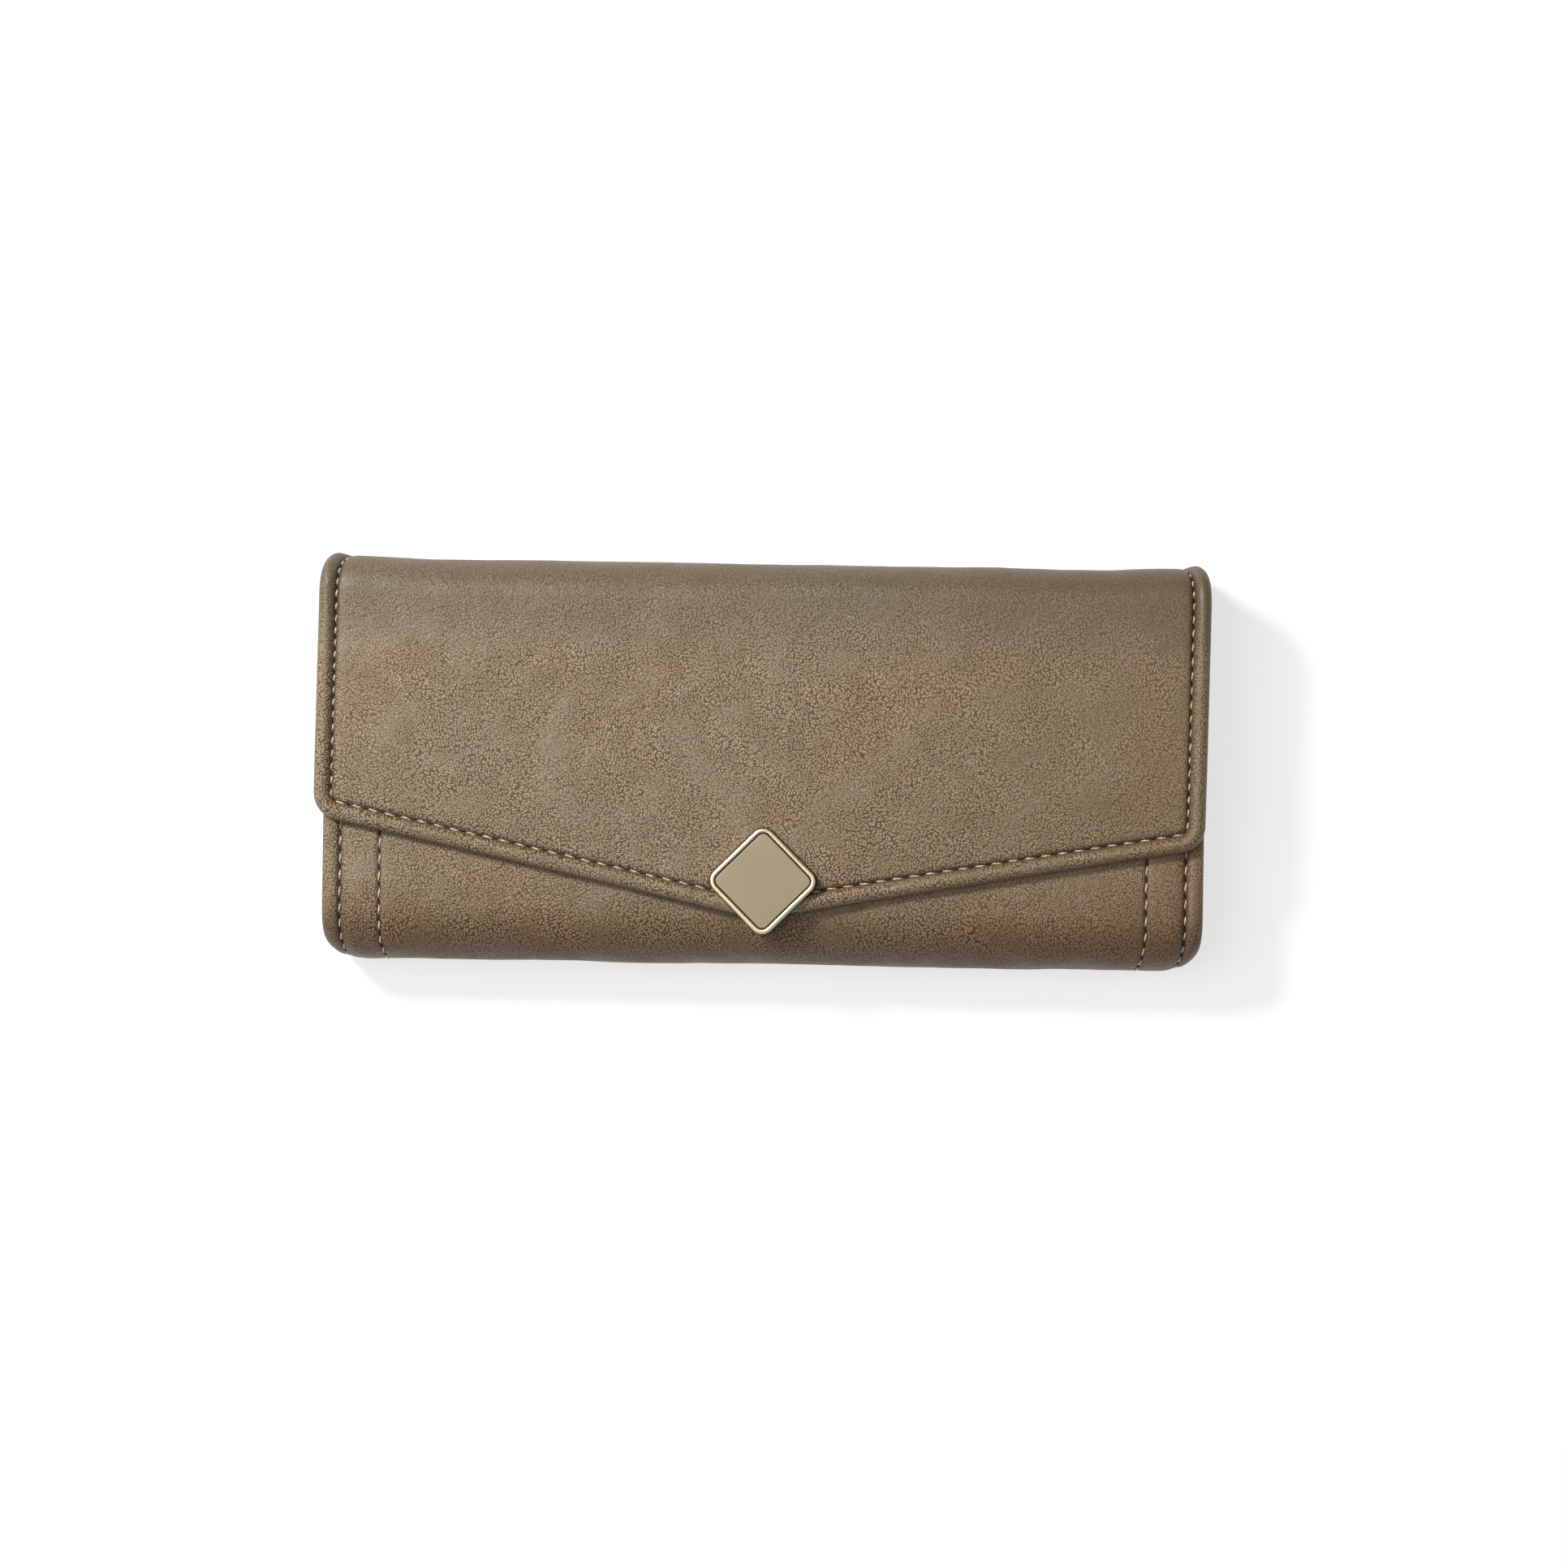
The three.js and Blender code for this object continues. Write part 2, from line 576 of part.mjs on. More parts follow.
makePanel(back, "back", -1, TOP_CENTRE_Y);
makeGussets(back, "rear", -1);
makeSpine(spine);
makeFlap(flap);
makeEmblem(flap);
makeSnapStud(flap);
makePanel(front, "front", 1, FRONT_TOP);
makeBottomFold(front);
makeSnapSocket(front);
makeGussets(front, "front", 1);
makeCoinPocket(coinPocket);
makeZip(coinPocket);
slider.position.set(SLIDER_X, COIN_TOP + 0.6, MIDDLE);
makeSlider(slider);
makePull(slider);

export default wallet;
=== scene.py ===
# A long envelope wallet in taupe leather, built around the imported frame.
#
# Lengths are in millimetres and turn into metres where a mesh is made. The cover's leather is one
# sheet that is described by x, across the wallet, and s, the length along its outer line from the
# front panel's free edge, round the bottom fold, up the back, over the spine and down the flap.

import math

import bmesh
import bpy
import numpy as np
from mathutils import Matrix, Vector


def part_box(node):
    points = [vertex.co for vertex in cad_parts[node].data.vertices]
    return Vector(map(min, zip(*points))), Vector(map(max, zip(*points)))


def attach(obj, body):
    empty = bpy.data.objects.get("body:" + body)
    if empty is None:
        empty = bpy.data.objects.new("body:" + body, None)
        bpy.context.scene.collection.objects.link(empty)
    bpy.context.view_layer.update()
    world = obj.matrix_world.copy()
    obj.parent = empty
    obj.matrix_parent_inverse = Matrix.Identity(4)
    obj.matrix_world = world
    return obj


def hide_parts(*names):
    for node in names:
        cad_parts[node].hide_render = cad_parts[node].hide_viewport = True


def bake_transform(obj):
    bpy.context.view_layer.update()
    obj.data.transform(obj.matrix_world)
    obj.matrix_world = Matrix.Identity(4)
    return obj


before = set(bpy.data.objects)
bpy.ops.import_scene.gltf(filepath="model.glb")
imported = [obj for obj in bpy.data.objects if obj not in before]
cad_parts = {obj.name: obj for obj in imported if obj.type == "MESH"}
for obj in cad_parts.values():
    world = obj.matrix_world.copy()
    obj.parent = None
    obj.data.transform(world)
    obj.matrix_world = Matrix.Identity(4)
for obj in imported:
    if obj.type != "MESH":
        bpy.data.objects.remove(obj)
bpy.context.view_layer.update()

MM = 0.001
MERGE_DISTANCE = 2e-7
LEAST_CAP_AREA = 1e-6


def corners(node):
    """The node's lowest and highest corner, in millimetres."""
    low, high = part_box(node)
    return np.array(low) / MM, np.array(high) / MM


def centre_of(node):
    """The middle of the node's box, in millimetres."""
    return sum(corners(node)) / 2


# ------------------------------------------------------------------ places taken from the frame

FRONT_LOW, FRONT_HIGH = corners("front_leather")
FLAP_HIGH = corners("flap_leather")[1]
HALF_BODY = FRONT_HIGH[0]
HALF_FLAP = FLAP_HIGH[0]
FRONT_Z = FRONT_HIGH[2]
FRONT_TOP = FRONT_HIGH[1]
BOTTOM_AXIS = FRONT_LOW[1]
BOTTOM_RADIUS = FRONT_Z / 2
FLAP_Z = FLAP_HIGH[2]
TOP_RADIUS = 8
TOP_AXIS = corners("spine_leather")[1][1] - TOP_RADIUS
UPPER_CENTRE_Z = FLAP_Z - TOP_RADIUS
SNAP = centre_of("snap_socket")
SNAP_RADIUS = corners("snap_socket")[1][0] - SNAP[0]
SIDES = (("left", -1), ("right", 1))

# ------------------------------------------------------------------ leather sizes

HIDE = 2.2  # the cover with its board, between its two leather faces
RIM = 1.95  # half the width of the rolled edge
EDGE_SEAM = 3.9
GUSSET_SEAM = 12.6
FLAP_SIDE_END = -15
FLAP_TIP = -34
FLAP_CORNER = 6
FLAP_TIP_RADIUS = 26
FRONT_CORNER = 4
BOTTOM_NARROWING = 1.5  # the sheet pulls in where it turns round a fold
TOP_NARROWING = 2.0
BOTTOM_ROUNDING = 1.7  # the bottom fold's ends are smaller than its middle
FLAP_DROOP = 0.75  # the flap's free edge sinks towards the front panel
TOP_SAG = {"middle": 0.4, "ends": 0.9}  # the top fold sinks, and its ends rise again by this
CREST = {"body": 0.36, "flap": 0.7}  # height of the rolled edge, and what the flap adds to it
SWELL = {"at_seam": 0.2, "further_in": 0.25}  # padding inside the edge stitching
BACK_RECESS = 0.42  # the back's face keeps clear of the surface that the wallet lies on
SEAM = {"depth": 0.8, "shallower_at_bottom": 0.5, "width": 0.5, "gusset_share": 0.6}

# ------------------------------------------------------------------ small helpers


def smooth(t):
    t = np.clip(t, 0, 1)
    return t * t * (3 - 2 * t)


def hump(t):
    """0 at t = 0 and t = 1, and 1 half-way between."""
    return np.sin(np.pi * np.clip(t, 0, 1)) ** 2


def noise(u, v, size, seed):
    """Smooth noise from -1 to 1, with bumps about size across."""
    cells = 128
    table = np.random.default_rng(seed).uniform(-1, 1, (cells, cells))
    a, b = np.asarray(u) / size + cells, np.asarray(v) / size + cells
    i, j = np.floor(a).astype(int), np.floor(b).astype(int)
    f, g = smooth(a - i), smooth(b - j)
    i, j, k, m = i % cells, j % cells, (i + 1) % cells, (j + 1) % cells
    low = table[i, j] * (1 - f) + table[k, j] * f
    high = table[i, m] * (1 - f) + table[k, m] * f
    return low * (1 - g) + high * g


def add_object(name, data):
    obj = bpy.data.objects.new(name, data)
    bpy.context.scene.collection.objects.link(obj)
    return obj


def place_on(piece, body, node):
    """The piece moves with a body and is shown in the place of a CAD node."""
    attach(piece, body)
    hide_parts(node)


def make_object(name, points, faces, material, layers=None):
    """A smooth, closed mesh object from points in millimetres.

    layers holds a vector for each point under a name that the material reads.
    """
    mesh = bpy.data.meshes.new(name)
    mesh.from_pydata((np.asarray(points, float).reshape(-1, 3) * MM).tolist(), [], faces)
    for layer_name, values in (layers or {}).items():
        layer = mesh.attributes.new(layer_name, "FLOAT_VECTOR", "POINT")
        layer.data.foreach_set("vector", np.asarray(values, np.float32).ravel())
    work = bmesh.new()
    work.from_mesh(mesh)
    bmesh.ops.remove_doubles(work, verts=work.verts, dist=MERGE_DISTANCE)
    bmesh.ops.recalc_face_normals(work, faces=work.faces)
    for face in work.faces:
        if len(face.verts) > 4 and face.calc_area() > LEAST_CAP_AREA:
            for edge in face.edges:
                edge.smooth = False
    work.to_mesh(mesh)
    work.free()
    mesh.materials.append(material)
    mesh.polygons.foreach_set("use_smooth", [True] * len(mesh.polygons))
    return add_object(name, mesh)


def ring_faces(rings, count, first_cap=True, last_cap=True, start=0):
    """Faces between closed rings of count points each."""
    faces = []
    for r in range(rings - 1):
        for c in range(count):
            a, b = start + r * count + c, start + r * count + (c + 1) % count
            faces.append((a, b, b + count, a + count))
    if first_cap:
        faces.append(tuple(start + c for c in reversed(range(count))))
    if last_cap:
        faces.append(tuple(start + (rings - 1) * count + c for c in range(count)))
    return faces


def rounded_line(points, arc_steps=8):
    """A line through (x, y, radius) points, with its corners rounded."""
    line = []
    for i, (x, y, radius) in enumerate(points):
        here = np.array([x, y], float)
        if radius <= 0:
            line.append(here)
            continue
        back = np.array(points[i - 1][:2], float) - here
        ahead = np.array(points[i + 1][:2], float) - here
        back, ahead = back / np.linalg.norm(back), ahead / np.linalg.norm(ahead)
        half = math.acos(np.clip(back @ ahead, -1, 1)) / 2
        middle = (back + ahead) / np.linalg.norm(back + ahead)
        centre = here + middle * radius / math.sin(half)
        start = here + back * radius / math.tan(half) - centre
        turn = math.pi - 2 * half
        side = np.sign(back[1] * ahead[0] - back[0] * ahead[1])
        for angle in np.linspace(0, side * turn, arc_steps + 1):
            c, s = math.cos(angle), math.sin(angle)
            line.append(centre + [c * start[0] - s * start[1], s * start[0] + c * start[1]])
    return np.array(line)


def line_distance(x, y, line):
    """Distance of each point to an open line."""
    start, along = line[:-1], np.diff(line, axis=0)
    offset = np.stack([x, y], -1)[..., None, :] - start
    length = np.maximum((along ** 2).sum(-1), 1e-12)
    t = np.clip((offset * along).sum(-1) / length, 0, 1)
    return np.linalg.norm(offset - t[..., None] * along, axis=-1).min(-1)


def along_line(line, distances):
    """Points at these lengths along a line."""
    steps = np.linalg.norm(np.diff(line, axis=0), axis=1)
    total = np.concatenate([[0], np.cumsum(steps)])
    return np.stack([np.interp(distances, total, line[:, k]) for k in (0, 1)], -1)


def line_length(line):
    return float(np.linalg.norm(np.diff(line, axis=0), axis=1).sum())


# ------------------------------------------------------------------ the cover's outer line


def sample_outer_line(step=0.1):
    """Y, Z and the outward normal along the cover's outer line, and the lengths of its turns."""
    spine_y = TOP_AXIS + TOP_RADIUS
    stretches = [
        ((FRONT_TOP, FRONT_Z), (BOTTOM_AXIS, FRONT_Z)),
        ((BOTTOM_AXIS, BOTTOM_RADIUS), BOTTOM_RADIUS, 90, 270),
        ((BOTTOM_AXIS, 0), (0, 0)),
        ((0, 0), (TOP_AXIS, 0)),
        ((TOP_AXIS, TOP_RADIUS), TOP_RADIUS, -90, 0),
        ((spine_y, TOP_RADIUS), (spine_y, (TOP_RADIUS + UPPER_CENTRE_Z) / 2)),
        ((spine_y, (TOP_RADIUS + UPPER_CENTRE_Z) / 2), (spine_y, UPPER_CENTRE_Z)),
        ((TOP_AXIS, UPPER_CENTRE_Z), TOP_RADIUS, 0, 90),
        ((TOP_AXIS, FLAP_Z), (TOP_AXIS - 80, FLAP_Z)),
    ]
    rows, marks, total = [], [0], 0
    for stretch in stretches:
        if len(stretch) == 2:
            start, end = (np.array(p, float) for p in stretch)
            length = np.linalg.norm(end - start)
            along = (end - start) / length
            t = np.arange(0, length, step)
            place = start + t[:, None] * along
            normal = np.tile([along[1], -along[0]], (len(t), 1))
        else:
            centre, radius, first, last = stretch
            length = radius * math.radians(last - first)
            t = np.arange(0, length, step)
            angle = math.radians(first) + t / radius
            normal = np.stack([np.cos(angle), np.sin(angle)], -1)
            place = np.array(centre) + radius * normal
        rows.append(np.column_stack([total + t, place, normal]))
        total += length
        marks.append(total)
    return np.concatenate(rows), marks


OUTER_LINE, MARKS = sample_outer_line()
S_EDGE, S_BOTTOM, S_BACK, S_BACK_MIDDLE, S_TOP, _, S_SPINE_MIDDLE, _, S_FLAP, _ = MARKS


def half_width(s):
    """Half the sheet's width at s."""
    bottom = hump((s - S_BOTTOM) / (S_BACK - S_BOTTOM))
    top = hump((s - S_TOP) / (S_FLAP - S_TOP))
    wider = (HALF_FLAP - HALF_BODY) * smooth((s - S_SPINE_MIDDLE) / (S_FLAP - S_SPINE_MIDDLE))
    return HALF_BODY + wider - BOTTOM_NARROWING * bottom ** 2 - TOP_NARROWING * top ** 2


FLAP_SKEW = {"shift": 0.35, "lean": 0.013, "turn": 0.0236}


def cover_point(x, s, outward):
    """The point of the cover at x and s that is this far outside its plain outer line."""
    x, s = np.asarray(x, float), np.asarray(s, float)
    y, z, ny, nz = (np.interp(s, OUTER_LINE[:, 0], OUTER_LINE[:, k]) for k in (1, 2, 3, 4))
    length = np.hypot(ny, nz)
    ny, nz = ny / length, nz / length
    over_top = smooth((s - S_TOP) / 10) * smooth((S_FLAP + 2 - s) / 10)
    sag = -TOP_SAG["middle"] + TOP_SAG["ends"] * smooth((np.abs(x) - 72) / 22)
    outward = outward + over_top * sag
    at_bottom = hump((s - S_BOTTOM) / (S_BACK - S_BOTTOM))
    rounding = smooth(1 - (half_width(s) - np.abs(x)) / 5.5) ** 1.5
    outward = outward - BOTTOM_ROUNDING * at_bottom * rounding
    down = np.maximum(s - S_FLAP, 0)
    to_edge = TOP_AXIS - FLAP_TIP - np.abs(x) * (FLAP_SIDE_END - FLAP_TIP) / HALF_FLAP - down
    outward = outward - (FLAP_DROOP * smooth(1 - to_edge / 18) * smooth((np.abs(x) - 11) / 16)
                         * smooth(down / 20))
    ease = smooth((s - S_SPINE_MIDDLE) / (S_FLAP - S_SPINE_MIDDLE))
    moved_x = x - FLAP_SKEW["shift"] * ease - FLAP_SKEW["lean"] * down
    moved_y = y - FLAP_SKEW["turn"] * x * smooth(down / 32)
    return np.stack([moved_x, moved_y + ny * outward, z + nz * outward], -1)


# ------------------------------------------------------------------ edges of the sheet


def flap_outline(inset):
    """The flap's edge in x and s, from its top left round the point to its top right."""
    slope = (FLAP_SIDE_END - FLAP_TIP) / HALF_FLAP
    half = HALF_FLAP - inset
    tip = FLAP_TIP + inset * math.hypot(1, slope)
    corner = max(FLAP_CORNER - inset, 0.6)
    side = tip + half * slope
    line = rounded_line([
        (-half, TOP_AXIS, 0),
        (-half, side, corner),
        (0, tip, FLAP_TIP_RADIUS - inset),
        (half, side, corner),
        (half, TOP_AXIS, 0),
    ], 10)
    return np.column_stack([line[:, 0], S_FLAP + TOP_AXIS - line[:, 1]])


def front_outline(inset):
    """The front panel's free edge in x and s."""
    half, start = HALF_BODY - inset, S_EDGE + inset
    corner = max(FRONT_CORNER - inset, 0.6)
    return rounded_line([
        (-half, start + 40, 0), (-half, start, corner), (half, start, corner), (half, start + 40, 0),
    ])


FLAP_EDGE = flap_outline(0)
FRONT_EDGE = front_outline(0)


def edge_distance(x, s):
    """How far in from the sheet's edge a point lies."""
    x, s = np.broadcast_arrays(np.asarray(x, float), np.asarray(s, float))
    distance = half_width(s) - np.abs(x)
    for near, edge in ((s > S_FLAP, FLAP_EDGE), (s < S_EDGE + 38, FRONT_EDGE)):
        distance[near] = np.minimum(distance[near], line_distance(x[near], s[near], edge))
    return np.maximum(distance, 0)


# ------------------------------------------------------------------ the leather's relief

# Creases that a person would notice: x, y, length, direction in degrees, width, depth.
FLAP_CREASES = [
    (-33, 19.6, 13, 2, 0.7, 0.10),
    (-47, 9, 17, 62, 1.6, 0.12),
    (-38, 4, 19, 68, 1.9, 0.14),
    (-53, 20, 15, 40, 1.7, 0.10),
    (-15, -18, 11, 52, 1.0, 0.12),
    (-19, -21, 9, 40, 0.9, 0.10),
    (-6, -7, 9, 88, 1.2, 0.10),
    (15, -16, 10, -50, 1.3, 0.10),
    (45, -3, 20, -35, 2.2, 0.10),
    (62, 24, 24, -40, 2.4, 0.10),
    (-76, 24, 12, 80, 1.6, 0.08),
    (-30, -9, 13, 75, 1.4, 0.12),
    (28, 8, 16, 70, 2.0, 0.09),
]
FRONT_CREASES = [
    (-88, -24, 5, 30, 0.9, 0.10),
    (-86, -31, 6, -50, 0.9, 0.10),
    (-89.5, -37, 5, 20, 0.8, 0.08),
    (-20, -37.5, 20, 4, 1.2, 0.10),
    (20, -37, 16, -6, 1.2, 0.08),
    (-12, -34.5, 8, 50, 0.9, 0.08),
    (88, -33, 6, 60, 0.9, 0.08),
    (55, -30, 14, -12, 1.4, 0.06),
]


def creases(x, v, marks):
    total = np.zeros(np.broadcast(x, v).shape)
    for at_x, at_v, length, direction, width, depth in marks:
        c, s = math.cos(math.radians(direction)), math.sin(math.radians(direction))
        along = (x - at_x) * c + (v - at_v) * s
        across = (v - at_v) * c - (x - at_x) * s + 0.5 * np.sin(along * 0.7)
        reach = np.exp(-(along / (length / 2)) ** 4)
        valley = np.exp(-(across / width) ** 2)
        ridges = np.exp(-((np.abs(across) - 1.8 * width) / width) ** 2)
        total += reach * depth * (0.5 * ridges - valley)
    return total


def undulation(x, s):
    """Soft waves of leather over its board."""
    return (0.3 * noise(x, s, 23, 3) + 0.11 * noise(x + 0.4 * s, s, 9, 5)
            + 0.035 * noise(x, s - 0.3 * x, 3.6, 8))


def relief(x, s, distance):
    """How far the leather's outer face stands out from the plain outer line."""
    flapness = smooth((s - S_SPINE_MIDDLE) / 14)
    crest = CREST["body"] + CREST["flap"] * flapness
    middle = -HIDE / 2
    rise = np.sqrt(1 - (1 - np.clip(distance / RIM, 0, 1)) ** 2)
    rim = middle + (crest - middle) * rise
    fall = crest * (1 - smooth((distance - RIM) / (EDGE_SEAM - RIM)))
    on_back = smooth((s - S_BACK + 6) / 6) * (1 - smooth((s - S_TOP) / 6))
    past_seam = distance - EDGE_SEAM
    inside = SWELL["at_seam"] * smooth(past_seam / 2.5) + SWELL["further_in"] * smooth(past_seam / 14)
    shape = np.where(distance < RIM, rim, fall + inside * (1 - on_back)) - BACK_RECESS * on_back
    at_bottom = hump((s - S_BOTTOM) / (S_BACK - S_BOTTOM))
    groove = SEAM["depth"] - SEAM["shallower_at_bottom"] * at_bottom
    shape = shape - groove * np.exp(-(past_seam / SEAM["width"]) ** 2)
    on_body = (1 - smooth((s - S_TOP + 4) / 4)) * smooth((s - S_EDGE - 1) / 3)
    gusset = half_width(s) - np.abs(x) - GUSSET_SEAM
    between = hump((gusset + GUSSET_SEAM - EDGE_SEAM) / (GUSSET_SEAM - EDGE_SEAM))
    pinch = SEAM["gusset_share"] * groove * np.exp(-(gusset / SEAM["width"]) ** 2)
    shape = shape + on_body * (0.16 * between - pinch)
    y = TOP_AXIS - (s - S_FLAP)
    front_y = FRONT_TOP - s
    on_front = s < S_BOTTOM
    snap = np.hypot(x - SNAP[0], front_y - SNAP[1])
    pressed = on_front * (1 - smooth((snap - SNAP_RADIUS - 0.6) / 4))
    waves = undulation(x, s) + np.where(
        s > S_SPINE_MIDDLE, creases(x, y, FLAP_CREASES), creases(x, front_y, FRONT_CREASES))
    waves = waves * smooth((distance - 1.2) / 6) * (1 - 0.8 * on_back)
    return (shape + waves) * (1 - pressed)


def inner_face(distance):
    """Where the sheet's inner face lies, rounded towards its edge."""
    round_edge = np.sqrt(1 - (1 - np.clip(distance / (HIDE / 2), 0, 1)) ** 2)
    return -HIDE / 2 * (1 + round_edge)


# ------------------------------------------------------------------ grids over the sheet

ROLL_STEPS = HIDE / 2 * (1 - np.cos(np.radians(np.arange(0, 91, 15))))
EDGE_STEPS = np.concatenate([
    ROLL_STEPS, [1.5, RIM, 2.4, 2.8, 3.15, 3.4, 3.6, 3.75, EDGE_SEAM, 4.05, 4.2, 4.4, 4.7, 5.2, 6]])
GUSSET_STEPS = np.array([7, 8.2, 9.5, 10.6, 11.4, 11.9, 12.2, 12.4, GUSSET_SEAM, 12.8, 13, 13.3,
                         13.8, 14.6, 16])
SIDE_STEPS = np.concatenate([EDGE_STEPS, GUSSET_STEPS])
MIDDLE_COLUMNS = 118


def column_x(half, steps=SIDE_STEPS, middle=MIDDLE_COLUMNS):
    """x of every column from left to right, where the sheet is 2 * half wide."""
    half = np.asarray(half, float)[..., None]
    inside = half - steps[-1]
    between = np.linspace(-1, 1, middle + 1)[1:-1]
    return np.concatenate([-half + steps, inside * between, half - steps[::-1]], -1)


def inner_columns(count, steps):
    """The outer columns that the inner face has too, without the two at the very edge."""
    side = [k for k in range(1, len(steps)) if k < len(ROLL_STEPS) or k % 4 == 0]
    middle = [k for k in range(len(steps), count - len(steps)) if k % 4 == 0]
    return side + middle + [count - 1 - k for k in reversed(side)]


def seam_shade(x, s, distance):
    """1 along a seam of the outer face, fading to 0 beside it."""
    edge = np.exp(-((distance - EDGE_SEAM) / 0.5) ** 2)
    gusset = np.exp(-((half_width(s) - np.abs(x) - GUSSET_SEAM) / 0.45) ** 2)
    on_body = (s < S_TOP - 2) & (s > S_EDGE + EDGE_SEAM)
    return np.maximum(edge, gusset * on_body)


def flattened(x, s, outward, distance):
    """x and s of the leather before its edge was rolled, with the shade of its seams."""
    rolled = np.maximum(0.5 - outward, 0) * (distance < RIM)
    at_side = half_width(s) - np.abs(x) <= distance + 1e-6
    u = x + np.sign(x) * rolled * at_side
    v = s + np.where(s > S_FLAP, 1, -1) * rolled * ~at_side
    return np.stack([u, v, seam_shade(x, s, distance) * (outward > -1.5)], -1)


def make_sheet(name, x, s, top, bottom, material, steps=SIDE_STEPS):
    """A closed sheet of leather or lining from grids of x, s and its two faces' places."""
    keep = inner_columns(x.shape[1], steps)
    distance = edge_distance(x, s)
    faces = []
    for columns, outward in ((slice(None), top), (keep, bottom)):
        parts = [grid[:, columns] for grid in (x, s, outward, distance)]
        faces.append(np.concatenate([cover_point(*parts[:3]), flattened(*parts)], -1))
    rings = np.concatenate([faces[0], faces[1][:, ::-1]], axis=1)
    rows, count = rings.shape[:2]
    return make_object(name, rings[..., :3], ring_faces(rows, count), material,
                       layers={"leather": rings[..., 3:]})


def rows_from_edge(edge, sign, end, columns, step, steps=EDGE_STEPS):
    """Rows that begin along an edge of the sheet and end straight across it at s = end."""
    limit = np.interp(columns, edge[1:-1, 0], edge[1:-1, 1])
    near = limit + sign * np.concatenate([steps, [7, 8.2, 10, 12, 14]])[:, None]
    count = max(3, round(float(np.abs(end - near[-1]).mean()) / step))
    t = np.linspace(0, 1, count)[1:, None]
    s = np.concatenate([near, near[-1] + t * (end - near[-1])])
    return np.broadcast_to(columns, s.shape).copy(), s


def rows_along(start, end, step, inset=0, steps=SIDE_STEPS):
    """Straight rows across the sheet from s = start to s = end."""
    s = np.linspace(start, end, max(2, round(abs(end - start) / step) + 1))
    x = column_x(half_width(s) - inset, steps)
    return x, np.broadcast_to(s[:, None], x.shape).copy()


def joined_rows(first, *others):
    """Grids in a row. Each begins with the row that the one before it ends with."""
    return [np.concatenate([first[k]] + [grid[k][1:] for grid in others]) for k in (0, 1)]


def from_end(grid):
    return [part[::-1] for part in grid]


# ------------------------------------------------------------------ materials


class Material:
    """A Principled material under construction."""

    def __init__(self, name, roughness=0.5, metallic=0.0, **sockets):
        self.made = bpy.data.materials.new(name)
        self.made.use_nodes = True
        self.tree = self.made.node_tree
        self.shader = self.tree.nodes["Principled BSDF"]
        self.set(self.shader.inputs["Roughness"], roughness)
        self.set(self.shader.inputs["Metallic"], metallic)
        for socket, value in sockets.items():
            self.set(self.shader.inputs[socket.replace("_", " ")], value)

    def set(self, socket, value):
        if isinstance(value, bpy.types.NodeSocket):
            self.tree.links.new(value, socket)
        else:
            socket.default_value = value

    def add(self, kind, inputs, output=0, **settings):
        node = self.tree.nodes.new("ShaderNode" + kind)
        for name, value in settings.items():
            setattr(node, name, value)
        for key, value in inputs.items():
            self.set(node.inputs[key], value)
        return node.outputs[output]

    def layer(self, name):
        return self.add("Attribute", {}, "Vector", attribute_name=name)

    def math(self, operation, a, b=0.0, clamp=False):
        return self.add("Math", {0: a, 1: b}, operation=operation, use_clamp=clamp)

    def noise(self, place, scale, detail=2.0, roughness=0.5, output=0, flat=True):
        return self.add("TexNoise", {"Vector": place, "Scale": scale, "Detail": detail,
                                     "Roughness": roughness}, output,
                        noise_dimensions="2D" if flat else "3D")

    def scaled(self, place, scale, move=(0, 0, 0)):
        return self.add("Mapping", {"Vector": place, "Scale": scale, "Location": move})

    def ramp(self, value, low, high, to_low=0.0, to_high=1.0, steps="LINEAR"):
        return self.add("MapRange", {"Value": value, "From Min": low, "From Max": high,
                                     "To Min": to_low, "To Max": to_high}, clamp=True,
                        interpolation_type=steps)

    def mixed(self, share, a, b):
        """A mix of two numbers."""
        return self.add("Mix", {0: share, 2: a, 3: b}, data_type="FLOAT", clamp_factor=True)

    def blend(self, share, a, b, mode="MIX"):
        return self.add("Mix", {0: share, 6: a, 7: b}, 2, data_type="RGBA", blend_type=mode,
                        clamp_factor=True)

    def tinted(self, color, tint, share=1.0):
        """A colour that is multiplied by a tint, as far as share says."""
        full = self.blend(1.0, color, (*tint, 1), "MULTIPLY")
        return full if share == 1.0 else self.blend(share, color, full)

    def product(self, a, b):
        return self.math("MULTIPLY", a, b)

    def color(self, value):
        self.set(self.shader.inputs["Base Color"], value)

    def bump(self, height, distance, strength=1.0, normal=None):
        inputs = {"Height": height, "Distance": distance * MM, "Strength": strength}
        if normal is not None:
            inputs["Normal"] = normal
        return self.add("Bump", inputs)

    def normal(self, value):
        self.set(self.shader.inputs["Normal"], value)


def rgb(text, scale=1.0):
    """The linear colour of an sRGB hex value."""
    values = [int(text[k:k + 2], 16) / 255 for k in (0, 2, 4)]
    linear = [v / 12.92 if v <= 0.04045 else ((v + 0.055) / 1.055) ** 2.4 for v in values]
    return (*[scale * v for v in linear], 1)


# Painted shade in the cover's colour: darker along the bottom fold, over the top fold and towards the
# right side.
BOTTOM_PAINTED_SHADE = (0.62, 0.49, 0.33)
TOP_FOLD_PAINTED_SHADE = (0.66, 0.66, 0.66)
RIGHT_SIDE_PAINTED_SHADE = (0.93, 0.86, 0.79)
# Painted shade in the grain's valleys and along the seams.
VALLEY_AND_SEAM_PAINTED_SHADE = (0.32, 0.27, 0.2)
# Painted highlight on the pebbles' tops.
PEBBLE_TOP_PAINTED_HIGHLIGHT = (2.6, 2.66, 2.8)
PEBBLE_RUNS = (((1.0, 0.74, 1.0), 12, 0), ((0.72, 1.0, 1.0), -8, 40), ((1.0, 0.7, 1.0), 52, 90))


